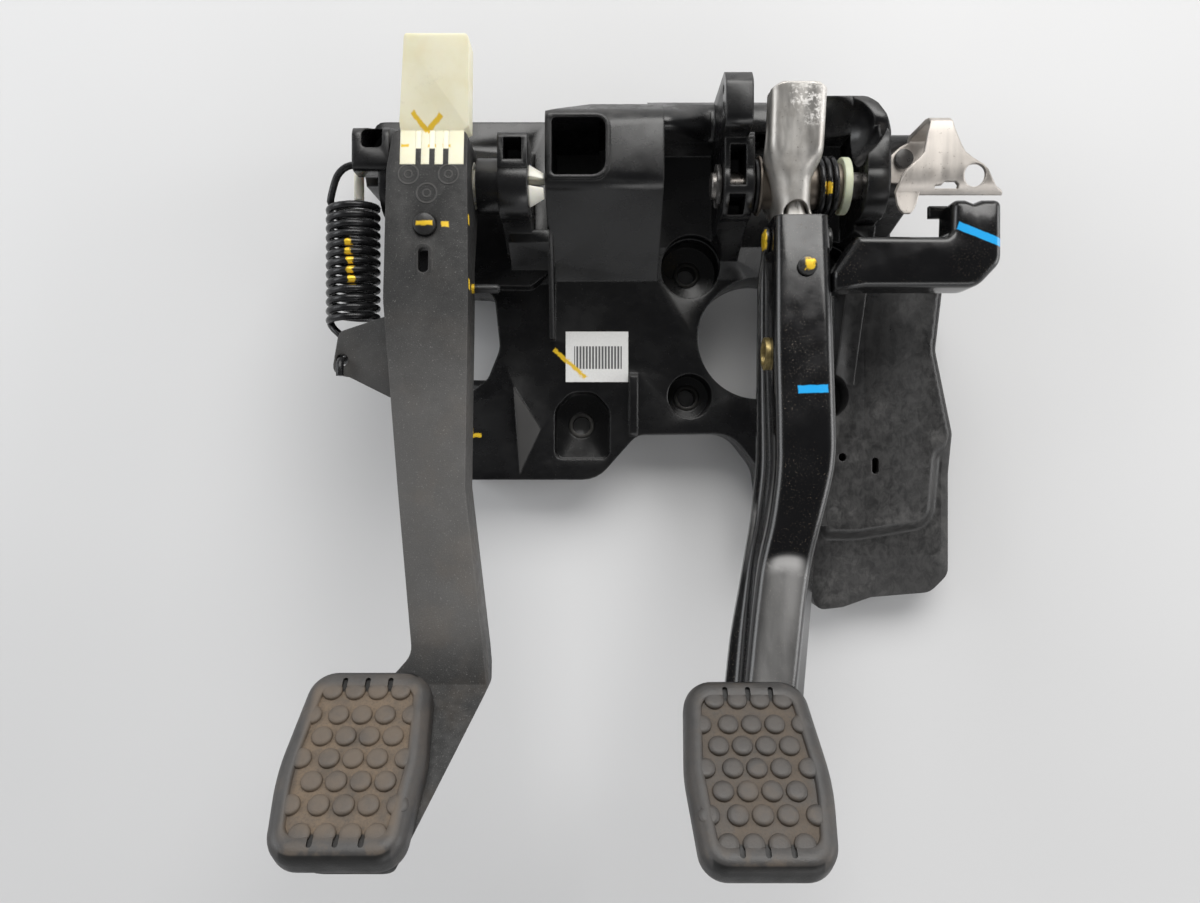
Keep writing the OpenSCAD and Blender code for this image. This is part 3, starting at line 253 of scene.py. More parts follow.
def moulding_finish():
    """Satin black moulding with a grey film, pale edges and a few paint dabs, plus painted light: paler faces
    towards +Y and a painted highlight on the sloped faces of a ridge.
    """
    c = colours()
    f = Finish("moulding_black", c.moulding)
    x, y, z = f.split(f.place)
    side, up = f.split(f.normal())[1:]
    film = f.span(f.noise(44, 6, 0.68), 0.44, 0.74)
    streaks = f.span(f.noise(150, 6, 0.72, stretch=(1.0, 1.9, 1.4)), 0.46, 0.74)
    specks = f.span(f.noise(900, 2), 0.70, 0.78)
    fine = f.span(f.noise(240, 7, 0.78, stretch=(1.0, 0.7, 1.0), warp=0.6), 0.36, 0.64, 0.40, 1.0)
    worn = f.times(f.edge_wear(0.0012), f.span(f.noise(70, 3), 0.35, 0.7))
    slant = f.span(f.less(y, f.times(x, 0.5)), -0.036, -0.068, 0.35, 1.0)
    kicked = f.times(f.span(x, 0.012, 0.040), slant, f.span(y, 0.045, 0.010), fine,
                     f.span(film, 0.0, 1.0, 0.22, 0.52))
    # Painted highlight: the sloped faces inside this patch, on a ridge by the foot, are made paler.
    slope_highlight = f.times(f.patch((-0.1150, 0.0075), (-0.0490, 0.0240), soft=0.0010),
                    f.times(f.span(up, 0.985, 0.955), f.span(up, 0.30, 0.45)), 0.20)
    # Partly settled dust, partly painted light: faces that turn towards +Y, where the window light falls, are
    # made paler.
    dust_and_window_light = f.times(f.span(side, 0.15, 0.55), f.span(up, 0.05, 0.35), 0.30)
    mottle = f.plus(f.plus(film, streaks), 0.15, clamp=True)
    # This mix is dust with painted light in it: the paler faces towards +Y and the painted highlight on the
    # ridge.
    dust = f.most(f.times(mottle, f.plus(dust_and_window_light, 0.02)), f.most(kicked, slope_highlight))
    dust = f.plus(f.plus(dust, f.times(specks, 0.10)), f.times(worn, 0.30), clamp=True)
    f.cover(c.dust, dust)
    f.marks([((-0.1400, 0.0026), (-0.0510, 0.0010), 0.0026, 0.0, 0.0004, 0.010),
             ((-0.1420, 0.0008), (-0.0490, 0.0014), 0.0016, 0.0, 0.0004, 0.010),
             ((-0.0980, 0.0042), (-0.0115, 0.0009), 0.0026, -0.73, 0.0004, 0.010)])
    grain = f.bump(f.noise(1500, 2), 0.18, 0.00012, f.soft_edge(0.0011))
    wave = f.bump(f.noise(24, 2), 0.25, 0.0012, grain)
    rough = f.plus(f.span(f.noise(60, 4), 0.3, 0.7, 0.20, 0.31), f.times(dust, 1.2))
    return f.done(rough=rough, normal=wave, spec=0.5)


def clutch_arm_finish():
    """Grained black plastic, dusty below the middle, with moulding clocks and fine pale specks."""
    c = colours()
    f = Finish("clutch_arm_black", c.arm_plastic)
    x, y, z = f.split(f.place)
    specks = f.span(f.noise(1400, 1), 0.66, 0.74)
    fine = f.span(f.noise(2600, 1), 0.60, 0.72)
    film = f.span(f.noise(34, 5, 0.65), 0.35, 0.75)
    middle = f.times(f.span(y, 0.02, -0.07), f.span(y, -0.152, -0.120))
    dust = f.times(film, 0.12)
    for mask, share in ((middle, 0.42), (specks, 0.34), (fine, 0.16)):
        dust = f.plus(dust, f.times(mask, share))
    f.cover(c.dust, f.plus(dust, f.times(f.edge_wear(0.0010), 0.35), clamp=True))
    f.cover(c.grit, f.span(f.noise(50, 4), 0.45, 0.7), 0.10, f.span(y, 0.06, -0.10))
    f.marks([((-0.1433, 0.0015), (0.0360, 0.0011), 0.0012, 0.0, 0.0004, 0.094),
             ((-0.1335, 0.0012), (0.0112, 0.0022), 0.0010, 0.0, 0.0004, 0.0945, 0.0985),
             ((-0.1340, 0.0012), (0.0390, 0.0020), 0.0012, 0.0, 0.0004, 0.0920, 0.0955)])
    f.cover(c.ivory, f.patch((-0.1495, 0.0131), (0.0736, 0.0046), z=0.086))
    clocks = []
    for cx, cy in ((-0.1592, 0.0578), (-0.1423, 0.0578), (-0.1513, 0.0495)):
        squares = [f.math("POWER", f.less(axis, middle), 2.0) for axis, middle in ((x, cx), (y, cy))]
        away = f.math("SQRT", f.plus(*squares))
        clocks += [f.span(f.size(f.less(away, radius)), wide, 0.0002)
                   for radius, wide in ((0.0042, 0.0006), (0.0016, 0.0005))]
    face = f.times(f.most(*clocks), f.span(z, 0.090, 0.092))
    f.cover(c.dust, face, 0.25)
    grain = f.bump(f.noise(1700, 3, 0.6), 0.42, 0.00022, f.soft_edge(0.0009))
    level = f.span(f.noise(300, 3), 0.3, 0.7, 0.50, 0.64)
    return f.done(rough=level, normal=f.bump(face, 0.8, 0.0004, grain), spec=0.34)


def gloss_finish(name, stripes=(), scuffs=(), trodden_with_reflection=False):
    """Gloss black dip coat with golden dust, orange peel, blue stripes, scuffed bends and a trodden zone that
    is partly shoe wear and partly a painted reflection, topped by a painted highlight.
    """
    c = colours()
    f = Finish(name, c.gloss)
    few = f.times(f.span(f.noise(2400, 1), 0.68, 0.74), f.span(f.noise(45, 3), 0.35, 0.60))
    f.cover(c.dust, f.span(f.noise(55, 4), 0.45, 0.75), 0.015)
    f.cover(c.grit, few, 0.65)
    rough = f.plus(f.span(f.noise(80, 3), 0.3, 0.7, 0.10, 0.20), f.times(few, 0.35))
    if scuffs:
        rubs = [f.times(f.patch(sx, sy, 0.0020, angle, 0.0018), f.span(f.noise(520, 4, 0.7), 0.40, 0.66))
                for sx, sy, angle in scuffs]
        rub = f.times(f.most(*rubs), 0.35)
        f.cover((0.40, 0.39, 0.38), rub)
        rough = f.plus(rough, f.times(rub, 0.3))
    f.cover((0.30, 0.29, 0.28), f.edge_wear(0.0009, 0.05, 0.3), f.span(f.noise(120, 3), 0.5, 0.66), 0.5)
    if trodden_with_reflection:
        x, y, z = f.split(f.place)
        off = f.size(f.less(x, f.plus(f.times(y, 0.155), 0.0130)))
        bent = f.plus(y, f.times(off, off, 30.0))
        # Partly shoe wear, partly a painted reflection: the lower face is made grey as if it mirrored the
        # window.
        shoe_wear_and_reflection = f.times(f.span(bent, -0.0985, -0.1050), f.span(off, 0.0110, 0.0035),
                       f.span(y, -0.175, -0.105, 0.80, 1.0))
        smear = f.span(f.noise(60, 4, 0.6, stretch=(1.0, 0.25, 1.0)), 0.3, 0.6, 0.6, 1.0)
        f.cover((0.27, 0.265, 0.26), shoe_wear_and_reflection, smear, 0.75)
        # Painted highlight: a pale band across the top of that zone, where the bend would catch the light.
        f.cover((0.62, 0.61, 0.60), f.span(bent, -0.1000, -0.1025), f.span(bent, -0.1090, -0.1035),
                f.span(off, 0.0085, 0.0030, 0.0, 0.42))
    f.marks(stripes, c.blue)
    peel = f.bump(f.noise(210, 2), 0.05, 0.0005, f.soft_edge(0.0014))
    return f.done(rough=rough, normal=peel, spec=0.5, coat=0.2, coat_rough=0.05)


def steel_finish(name, tone, scuffs=(), rough=0.34):
    """Bare sheet with rolling streaks, stains and rubbed bright places."""
    f = Finish(name, tone)
    streak = f.noise(130, 4, 0.6, stretch=(1.0, 0.12, 1.0))
    f.base = f.mix(f.span(streak, 0.3, 0.7), [v * 0.82 for v in tone], [min(1.0, v * 1.10) for v in tone])
    f.cover((0.22, 0.18, 0.14), f.span(f.noise(60, 5, 0.65), 0.45, 0.75), 0.35)
    f.cover((0.14, 0.11, 0.09), f.span(f.noise(700, 2), 0.66, 0.74), 0.45)
    level = f.span(streak, 0.3, 0.7, rough - 0.08, rough + 0.10)
    if scuffs:
        rubbed = f.times(f.most(*[f.patch(sx, sy, 0.010, soft=0.003) for sx, sy in scuffs]),
                         f.span(f.noise(520, 5, 0.75), 0.50, 0.56))
        f.cover((0.86, 0.84, 0.81), rubbed)
        level = f.plus(level, f.times(rubbed, 0.22))
    dent = f.bump(f.noise(90, 3), 0.18, 0.0006, f.soft_edge(0.0010))
    return f.done(metal=0.85, rough=level, normal=dent)


def dark_steel_finish(name, tone, rough=0.30, dabs=()):
    """Oiled or blackened steel with a faint pale film."""
    f = Finish(name, tone)
    f.cover([v * 1.8 + 0.01 for v in tone], f.span(f.noise(240, 4), 0.4, 0.7), 0.4)
    f.marks(dabs)
    level = f.span(f.noise(300, 3), 0.3, 0.7, rough - 0.06, rough + 0.10)
    return f.done(metal=0.35, rough=level, normal=f.bump(f.noise(900, 2), 0.10, 0.0001, f.soft_edge(0.0005)))


def natural_plastic_finish(name, tone, dabs=(), grime=0.25, sub=0.12):
    """Unpigmented nylon: waxy, a little see-through, with handling grime."""
    f = Finish(name, tone)
    f.cover([v * w for v, w in zip(tone, (0.95, 0.93, 0.86))], f.span(f.noise(70, 4), 0.35, 0.7))
    f.cover((0.42, 0.36, 0.24), f.span(f.noise(180, 5, 0.7), 0.56, 0.78), grime)
    f.marks(dabs)
    f.feed(f.shader.inputs["Subsurface Radius"], (0.004, 0.003, 0.0015))
    f.feed(f.shader.inputs["Subsurface Scale"], 1.0)
    level = f.span(f.noise(220, 3), 0.3, 0.7, 0.34, 0.50)
    return f.done(rough=level, sub=sub, normal=f.bump(f.noise(420, 3), 0.10, 0.0002, f.soft_edge(0.0008)))


def label_finish():
    """White paper label with plain printed bars that stand for nothing."""
    c = colours()
    f = Finish("label_paper", c.paper)
    x, y, z = f.split(f.place)
    fibre = f.span(f.noise(1300, 3), 0.3, 0.7)
    f.cover([v * 0.93 for v in c.paper], fibre)
    bars = f.math("FRACT", f.times(f.less(x, -0.0955), 640.0))
    f.cover((0.03, 0.03, 0.035), f.span(bars, 0.34, 0.40),
            f.patch((-0.0795, 0.0118), (-0.0125, 0.0056), soft=0.0001), 0.9)
    f.marks([((-0.0905, 0.0066), (-0.0180, 0.0009), 0.003, -0.73)])
    f.cover((0.35, 0.33, 0.30), f.edge_wear(0.001), 0.2)
    return f.done(rough=0.55, normal=f.bump(fibre, 0.10, 0.0001))


def rubber_finish(name, centre, dust):
    """Worn pad rubber: grey where rubbed, brown grit in the field and, thinner, on the studs, with painted
    shade on the sides of the slab, in the field and in the slits.
    """
    c = colours()
    f = Finish(name, c.rubber)
    u, v, h = f.local(centre, (PAD_TILT, 0.0, 0.0))
    across, along_pad = f.size(u), f.size(v)
    inside = f.times(f.span(across, 0.0215, 0.0175), f.span(along_pad, 0.0315, 0.0255))
    valley = f.times(inside, f.span(h, -0.0003, -0.0013))
    cloud = f.noise(90, 5, 0.65)
    sand = f.noise(1100, 3, 0.7)
    grit = f.times(valley, f.span(cloud, 0.30, 0.62, dust * 0.45, dust), f.span(sand, 0.25, 0.60, 0.55, 1.0))
    tops = f.times(inside, f.span(cloud, 0.30, 0.62, dust * dust * 0.30, dust * dust * 0.62))
    smear = f.times(f.span(f.noise(46, 5, 0.7), 0.42, 0.70), 0.34, f.span(inside, 0.0, 1.0, 0.45, 1.0))
    low_rim = f.times(f.span(v, -0.024, -0.034), f.span(f.noise(130, 4), 0.45, 0.62),
                      f.span(h, -0.0030, -0.0008), 0.30)
    # Floors of the slits, which get painted shade below.
    slits = f.times(f.span(along_pad, 0.0262, 0.0272), f.span(h, -0.0006, -0.0012),
                    f.span(across, 0.0190, 0.0180))
    grit = f.most(grit, tops, f.most(smear, low_rim))
    f.cover((0.085, 0.082, 0.080), f.span(h, -0.0006, -0.0001), f.span(cloud, 0.35, 0.65), 0.35)
    # Painted shade: the sides of the slab, from a little under the face downwards, are darkened.
    f.cover((0.012, 0.012, 0.013), f.span(h, -0.0016, -0.0050), 0.85)
    # Painted shade in the sunk field between the studs, under the grit.
    f.cover((0.016, 0.014, 0.012), valley, 0.7)
    f.cover(c.grit, grit)
    # Painted shade: the floors of the slits are made near black.
    f.cover((0.006, 0.006, 0.006), slits, 0.9)
    level = f.plus(f.span(cloud, 0.3, 0.7, 0.38, 0.52), f.times(grit, 0.3))
    return f.done(rough=level, normal=f.bump(sand, 0.35, 0.0003), spec=0.45)


def brass_finish():
    """Sintered bush, oil stained."""
    tone = colours().brass
    f = Finish("bush_bronze", tone)
    grain = f.noise(1600, 2)
    f.cover([v * 0.55 for v in tone], f.span(f.noise(300, 4), 0.35, 0.7))
    return f.done(metal=0.8, rough=f.span(grain, 0.3, 0.7, 0.36, 0.52), normal=f.bump(grain, 0.15, 0.0001))


def put(name, mesh, material=None):
    """Adds a mesh to the scene as a piece that sits at the origin."""
    piece = bpy.data.objects.new(name, mesh)
    bpy.context.scene.collection.objects.link(piece)
    if material:
        mesh.materials.clear()
        mesh.materials.append(material)
    return piece


def solid(name, points, faces, material, crease=35.0):
    """Closed mesh from points and faces, turned outwards and shaded smooth up to the crease angle."""
    mesh = bpy.data.meshes.new(name)
    mesh.from_pydata([tuple(p) for p in points], [], faces)
    work = bmesh.new()
    work.from_mesh(mesh)
    bmesh.ops.remove_doubles(work, verts=work.verts, dist=1e-6)
    bmesh.ops.recalc_face_normals(work, faces=work.faces)
    smooth_to(work, crease)
    work.to_mesh(mesh)
    work.free()
    return put(name, mesh, material)


def smooth_to(work, crease):
    """Shades faces smooth and marks the edges past the crease angle sharp."""
    limit = math.radians(crease)
    for face in work.faces:
        face.smooth = True
    for edge in work.edges:
        edge.smooth = len(edge.link_faces) == 2 and edge.calc_face_angle(0.0) < limit


def rings(loops):
    """Points and faces of a skin through closed loops of equal length, with its ends filled."""
    count = len(loops[0])
    points = [p for loop in loops for p in loop]
    faces = []
    for k in range(len(loops) - 1):
        for i in range(count):
            j = (i + 1) % count
            faces.append((k * count + i, k * count + j, (k + 1) * count + j, (k + 1) * count + i))
    start = len(points) - count
    faces += [tuple(range(count - 1, -1, -1)), tuple(range(start, start + count))]
    return points, faces


def rounded(corners, steps=8):
    """Outline with each corner (x, y, radius) turned into an arc of the same number of points."""
    out = []
    count = len(corners)
    for i, (x, y, r) in enumerate(corners):
        b = Vector((x, y))
        a = Vector(corners[i - 1][:2])
        c = Vector(corners[(i + 1) % count][:2])
        u, v = (a - b).normalized(), (c - b).normalized()
        half = math.acos(max(-1.0, min(1.0, u.dot(v)))) / 2
        if r < 1e-6 or half > 1.56:
            out += [b.copy() for k in range(steps + 1)]
            continue
        m = b + (u + v).normalized() * r / math.sin(half)
        p, q = b + u * r / math.tan(half) - m, b + v * r / math.tan(half) - m
        w = math.pi - 2 * half
        out += [m + (p * math.sin((1 - k / steps) * w) + q * math.sin(k / steps * w)) / math.sin(w)
                for k in range(steps + 1)]
    return out


def shrunk(corners, gap):
    """Corners (x, y, radius), counter-clockwise, moved inwards by the gap, their radii following."""
    out = []
    count = len(corners)
    for i, (x, y, r) in enumerate(corners):
        b = Vector((x, y))
        d = (b - Vector(corners[i - 1][:2])).normalized()
        e = (Vector(corners[(i + 1) % count][:2]) - b).normalized()
        u, v = Vector((-d.y, d.x)), Vector((-e.y, e.x))
        q = b + (u + v) * gap / (1 + u.dot(v))
        hollow = d.x * e.y - d.y * e.x < 0
        out.append((q.x, q.y, max(0.0, r + gap if hollow else r - gap)))
    return out


def dressed(node, material, bevel, sharp=38.0):
    """Copy of a CAD node with merged faces, rounded edges and smooth curves, standing for the node."""
    merge, flat, crease = 2e-6, math.radians(0.6), 32.0
    source = frame["nodes"][node]
    mesh = source.data.copy()
    work = bmesh.new()
    work.from_mesh(mesh)
    bmesh.ops.remove_doubles(work, verts=work.verts, dist=merge)
    bmesh.ops.dissolve_limit(work, angle_limit=flat, verts=work.verts, edges=work.edges)
    limit = math.radians(sharp)
    hard = [e for e in work.edges if len(e.link_faces) == 2 and e.calc_face_angle(0.0) > limit]
    bmesh.ops.bevel(work, geom=hard, offset=bevel, offset_type="OFFSET", segments=2, profile=0.5,
                    affect="EDGES", clamp_overlap=True, miter_outer="ARC")
    bmesh.ops.remove_doubles(work, verts=work.verts, dist=1e-6)
    bmesh.ops.triangulate(work, faces=[f for f in work.faces if len(f.verts) > 4])
    smooth_to(work, crease)
    work.to_mesh(mesh)
    work.free()
    if "custom_normal" in mesh.attributes:
        mesh.attributes.remove(mesh.attributes["custom_normal"])
    piece = put(node + "_dressed", mesh, material)
    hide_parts(node)
    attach(piece, body_of_node(node))
    return piece


def body_of_node(node):
    """The body that the record gives a node to."""
    for body, names in frame["record"]["behaviour"]["bodies"].items():
        if node in names:
            return body
    raise RuntimeError("no body holds " + node)


def paint(node, material):
    """Gives a CAD node its finish."""
    piece = frame["nodes"][node]
    if not piece.material_slots:
        piece.data.materials.append(material)
    for slot in piece.material_slots:
        slot.material = material


class Tree(Nodes):
    """A geometry node group with named inputs."""

    def __init__(self, name, inputs):
        super().__init__(bpy.data.node_groups.new(name, "GeometryNodeTree"))
        face = self.tree.interface
        face.new_socket("Geometry", in_out="INPUT", socket_type="NodeSocketGeometry")
        for label, kind, value in inputs + [("Material", "Material", None)]:
            socket = face.new_socket(label, in_out="INPUT", socket_type="NodeSocket" + kind)
            if value is not None:
                socket.default_value = value
        face.new_socket("Geometry", in_out="OUTPUT", socket_type="NodeSocketGeometry")
        self.source = self.add("NodeGroupInput").outputs
        self.sink = self.add("NodeGroupOutput").inputs[0]

    def end(self, geometry):
        """Makes instances real, gives them the material and closes the group."""
        real = self.add("GeometryNodeRealizeInstances", {0: geometry}).outputs[0]
        painted = self.add("GeometryNodeSetMaterial", {"Geometry": real, "Material": self.source["Material"]})
        self.feed(self.sink, painted.outputs[0])
        return self.tree


def wire_tree():
    """Round wire along an edge path."""
    t = Tree("Wire along a path", [("Wire", "Float", 0.003), ("Sides", "Int", 12)])
    path = t.add("GeometryNodeMeshToCurve", {0: t.source["Geometry"]})
    ring = t.add("GeometryNodeCurvePrimitiveCircle", {
        "Resolution": t.source["Sides"], "Radius": t.times(t.source["Wire"], 0.5)})
    tube = t.add("GeometryNodeCurveToMesh", {
        "Curve": path.outputs[0], "Profile Curve": ring.outputs[0], "Fill Caps": True})
    soft = t.add("GeometryNodeSetShadeSmooth", {0: tube.outputs[0]})
    return t.end(soft.outputs[0])


def stud_tree():
    """A round stud with a soft top edge and a faint dome on each point."""
    edge_pinch, dome_height = 0.13, 0.00022
    t = Tree("Studs on points", [("Diameter", "Float", 0.0066), ("Height", "Float", 0.003)])
    height, radius = t.source["Height"], t.times(t.source["Diameter"], 0.5)
    drum = t.add("GeometryNodeMeshCylinder", {
        "Vertices": 28, "Side Segments": 6, "Fill Segments": 3, "Radius": radius, "Depth": height})
    x, y, z = t.split(t.add("GeometryNodeInputPosition").outputs[0])
    rise = t.plus(t.math("DIVIDE", z, height), 0.5)
    pinch = t.less(1.0, t.times(t.math("POWER", rise, 7.0), edge_pinch))
    share = t.math("DIVIDE", t.math("SQRT", t.plus(t.times(x, x), t.times(y, y))), radius)
    dome = t.times(t.less(1.0, t.math("POWER", share, 3.0)), dome_height)
    lift = t.times(dome, t.math("GREATER_THAN", rise, 0.99))
    place = t.add("ShaderNodeCombineXYZ", {0: t.times(x, pinch), 1: t.times(y, pinch), 2: t.plus(z, lift)})
    shaped = t.add("GeometryNodeSetPosition", {"Geometry": drum.outputs[0], "Position": place.outputs[0]})
    soft = t.add("GeometryNodeSetShadeSmooth", {0: shaped.outputs[0]})
    many = t.add("GeometryNodeInstanceOnPoints", {
        "Points": t.source["Geometry"], "Instance": soft.outputs[0]})
    return t.end(many.outputs[0])


def grown(name, points, edges, group, values, material):
    """Runs a node group over points or a path and keeps the plain mesh that comes out."""
    seed = bpy.data.meshes.new(name + "_seed")
    seed.from_pydata([tuple(p) for p in points], edges, [])
    holder = put(name + "_seed", seed)
    modifier = holder.modifiers.new("Grow", "NODES")
    modifier.node_group = group
    keys = {item.name: item.identifier for item in group.interface.items_tree if item.in_out == "INPUT"}
    for label, value in {**values, "Material": material}.items():
        modifier[keys[label]] = value
    bpy.context.view_layer.update()
    seen = holder.evaluated_get(bpy.context.evaluated_depsgraph_get())
    mesh = bpy.data.meshes.new_from_object(seen)
    mesh.name = name
    if not mesh.polygons:
        raise RuntimeError("nothing grew for " + name)
    bpy.data.objects.remove(holder)
    bpy.data.meshes.remove(seed)
    return put(name, mesh, material)


def pad_place(centre):
    """Turns pad coordinates, x across, y up the pad, z out of its face, into the frame."""
    return Matrix.Translation(centre) @ Matrix.Rotation(PAD_TILT, 4, "X")


def pad_body(name, centre, side, material):
    """Rubber slab with a rounded rim, a sunk field with slits at both ends, and a skirt."""
    s = sizes()
    w, l, t, h = s.pad_w / 2, s.pad_l / 2, s.pad_t, s.stud_h
    outer, inner = ([(-w + 0.002, end, 0.011), (-w, 0.0, 0.060), (-w + 0.0040, -end, 0.010),
                     (w - 0.002, -end, 0.011), (w + 0.0012, -0.005, 0.080), (w - 0.004, end, 0.011)]
                    for end in (l, l - 0.0018))
    steps = [(0.0016, -t), (0.0006, -t + 0.0003), (0.0001, -t + 0.0012), (0.0, -t + 0.0030), (0.0, -0.0052),
             (0.0003, -0.0034), (0.0010, -0.0019), (0.0021, -0.0008), (0.0034, -0.0002), (0.0048, 0.0),
             (0.0056, -0.00005), (0.0061, -0.0003), (0.0064, -0.0008), (0.0066, -h)]
    rim = 0.005
    loops = [[Vector((side * p.x, p.y, z)) for p in rounded(shrunk(outer if gap < rim else inner, gap), 10)]
             for gap, z in steps]
    piece = solid(name, *rings(loops), material, crease=50)
    slit, arc = s.slit_w / 2, [math.pi * k / 10 for k in range(11)]
    slit_start, slit_end = 0.025, 0.0308
    for end in (-1, 1):
        for column in (-1, 0, 1):
            x = column * s.stud_pitch
            outline = [(x - slit, end * slit_start), (x + slit, end * slit_start)]
            outline += [(x + slit * math.cos(a), end * (slit_end + slit * math.sin(a))) for a in arc]
            cut_out(piece, outline, -h + 0.0001, 0.002)
    piece.data.transform(pad_place(centre))
    return piece


def pad_marks(side):
    """Places of the whole studs, the half studs at the sides of the field and the end bars."""
    s = sizes()
    pitch, row_pitch, to_side, to_end = s.stud_pitch, 0.985, 1.16, 3.13
    spots = []
    for row in range(-2, 3):
        count = 3 if row % 2 == 0 else 4
        spread = [(i - (count - 1) / 2) * pitch for i in range(count)]
        if count == 3:
            spread = [spread[0] - pitch * to_side] + spread + [spread[-1] + pitch * to_side]
        spots += [(side * x, row * pitch * row_pitch) for x in spread]
    for end in (-1, 1):
        spots += [(side * (i - 1.5) * pitch, end * to_end * pitch) for i in range(4)]
    return [Vector((x, y, -s.stud_h)) for x, y in spots]


def along(table, y):
    """Value at height y from rows of (y, value) that run down the pedal, straight between the rows."""
    if y >= table[0][0]:
        return table[0][1]
    for (y0, a), (y1, b) in zip(table, table[1:]):
        if y >= y1:
            return a + (b - a) * (y0 - y) / (y0 - y1)
    return table[-1][1]


def softened(table, y, reach):
    """The same value averaged over a short reach, so that bends in the outline flow."""
    spread = (-1.0, -0.66, -0.33, 0.0, 0.33, 0.66, 1.0)
    return sum(along(table, y + k * reach) for k in spread) / len(spread)


def channel_profile(left, right, lip, depth, bend, fillet, lean=0.0, across=12):
    """Outer line of a pressed channel as (x, depth below the face), right edge first, lip last."""
    turns = [math.pi / 2 * k / 7 for k in range(8)]
    x0, x1 = right - bend, left + bend
    line = [(right + lean * (1 - k / 6), depth - k * (depth - bend) / 6) for k in range(6)]
    line += [(x0 + bend * math.cos(a), bend - bend * math.sin(a)) for a in turns]
    line += [(x0 + (x1 - x0) * k / across, 0.0) for k in range(1, across)]
    line += [(x1 - bend * math.sin(a), bend - bend * math.cos(a)) for a in turns]
    line += [(left, bend + k * (depth - fillet - bend) / 6) for k in range(1, 6)]
    line += [(left - fillet + fillet * math.cos(a), depth - fillet + fillet * math.sin(a))
             for a in (math.pi / 2 * k / 6 for k in range(7))]
    line += [(left - fillet + (lip - left + fillet) * k / 3, depth) for k in range(1, 4)]
    return line


def sheet_ring(line, sheet):
    """Closed section of a pressed sheet: its outer line and the same line moved in by the sheet."""
    inner = []
    for i, (x, t) in enumerate(line):
        a, b = line[max(i - 1, 0)], line[min(i + 1, len(line) - 1)]
        d = Vector((b[0] - a[0], -(b[1] - a[1])))
        d.normalize()
        inner.append((x - d.y * sheet, t - d.x * sheet))
    return line + inner[::-1]


def cut_out(piece, outline, low, high):
    """Cuts an outline, extruded along Z, out of a piece and keeps the plain mesh."""
    loops = [[Vector((x, y, z)) for x, y in outline] for z in (low, high)]
    tool = solid(piece.name + "_tool", *rings(loops), None)
    cut = piece.modifiers.new("Hole", "BOOLEAN")
    cut.operation, cut.solver, cut.object = "DIFFERENCE", "EXACT", tool
    bpy.context.view_layer.update()
    made = bpy.data.meshes.new_from_object(piece.evaluated_get(bpy.context.evaluated_depsgraph_get()))
    if not made.polygons:
        raise RuntimeError("nothing is left of " + piece.name)
    work = bmesh.new()
    work.from_mesh(made)
    smooth_to(work, 38.0)
    work.to_mesh(made)
    work.free()
    piece.modifiers.remove(cut)
    old, piece.data = piece.data, made
    used = tool.data
    bpy.data.objects.remove(tool)
    for mesh in (old, used):
        bpy.data.meshes.remove(mesh)


def disc(x, y, radius, count=40):
    """Outline of a round hole."""
    return [(x + radius * math.cos(2 * math.pi * k / count), y + radius * math.sin(2 * math.pi * k / count))
            for k in range(count)]


def ribbon(rows, thick, across=14):
    """Points and faces of a bent sheet through rows of (left, right, y, z) in millimetres."""
    loops = []
    for i, (left, right, y, z) in enumerate(rows):
        a, b = rows[max(i - 1, 0)], rows[min(i + 1, len(rows) - 1)]
        d = Vector((b[2] - a[2], b[3] - a[3])).normalized()
        side = Vector((d.y, -d.x)) * thick / 2
        line = [left + (right - left) * k / across for k in range(across + 1)]
        loops.append([Vector((x, y + side.x, z + side.y)) * MM for x in line]
                     + [Vector((x, y - side.x, z - side.y)) * MM for x in reversed(line)])
    return rings(loops)


# Rows of (y, value) down a pressing, in millimetres
ARM_LEFT = [(41, -4.6), (19, -5.4), (-10, -6.2), (-66, -6.4), (-88, -9.6), (-104, -14), (-126, -17.5),
            (-178, -24.5)]
ARM_RIGHT = [(41, 18.7), (-10, 19), (-62, 18.8), (-72, 16.6), (-86, 12.8), (-103, 8), (-118, 5), (-178, -4)]
ARM_LEAN = [(-66, 0), (-88, 2.6), (-104, 4.5), (-118, 5.6), (-178, 5)]
ARM_LIP = [(30, -5.2), (20, -7.6), (-20, -9.1), (-66, -10.4), (-86, -13), (-117, -20), (-136, -24.5),
           (-178, -31)]
ARM_DIP = [(-48, 0), (-107, 3.0), (-154, 0)]
PAD_PLANE, PAD_START = -39.627, -161.2
ARM_DEPTH = 26.0


def arm_line(y):
    """Height of the face of the brake arm, which rises towards the pad."""
    face, start, rise = 95.0, 42, 0.13
    return face + (start - y) * rise


def brake_arm_piece(material):
    """Pressed brake arm: a rounded channel with a lip that flows out of its left wall, bent above the pad."""
    sheet, bend_r, fillet_r = 3.0, 4.4, 5.0
    taper, taper_start = 0.17, -80
    under_face, under_pad = 0.15, 0.1
    loops = []
    stations = [41 - 3 * k for k in range(68)] + [-161.1, -163, -166, -170, -174, -176.5]
    for y in stations:
        left, right, lean = (softened(table, y, 7) for table in (ARM_LEFT, ARM_RIGHT, ARM_LEAN))
        lip = min(softened(ARM_LIP, y, 6), left - 0.4)
        back = arm_line(y) - (ARM_DEPTH + taper * min(0, y - taper_start))
        top = arm_line(y) - softened(ARM_DIP, y, 4) - under_face
        if y < PAD_START:
            top = max(top, PAD_PLANE - y - under_pad)
        depth = top - back
        fillet = max(0.3, min(fillet_r, (left - lip) * 0.75, depth * 0.4))
        bend = min(bend_r, depth * 0.4)
        line = channel_profile(left, right, lip, depth, bend, fillet, lean)
        loops.append([Vector((x, y, top - t)) * MM for x, t in sheet_ring(line, sheet)])
    piece = solid("brake_arm_pressing", *rings(loops), material, crease=42)
    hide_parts("brake_arm")
    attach(piece, "brake")


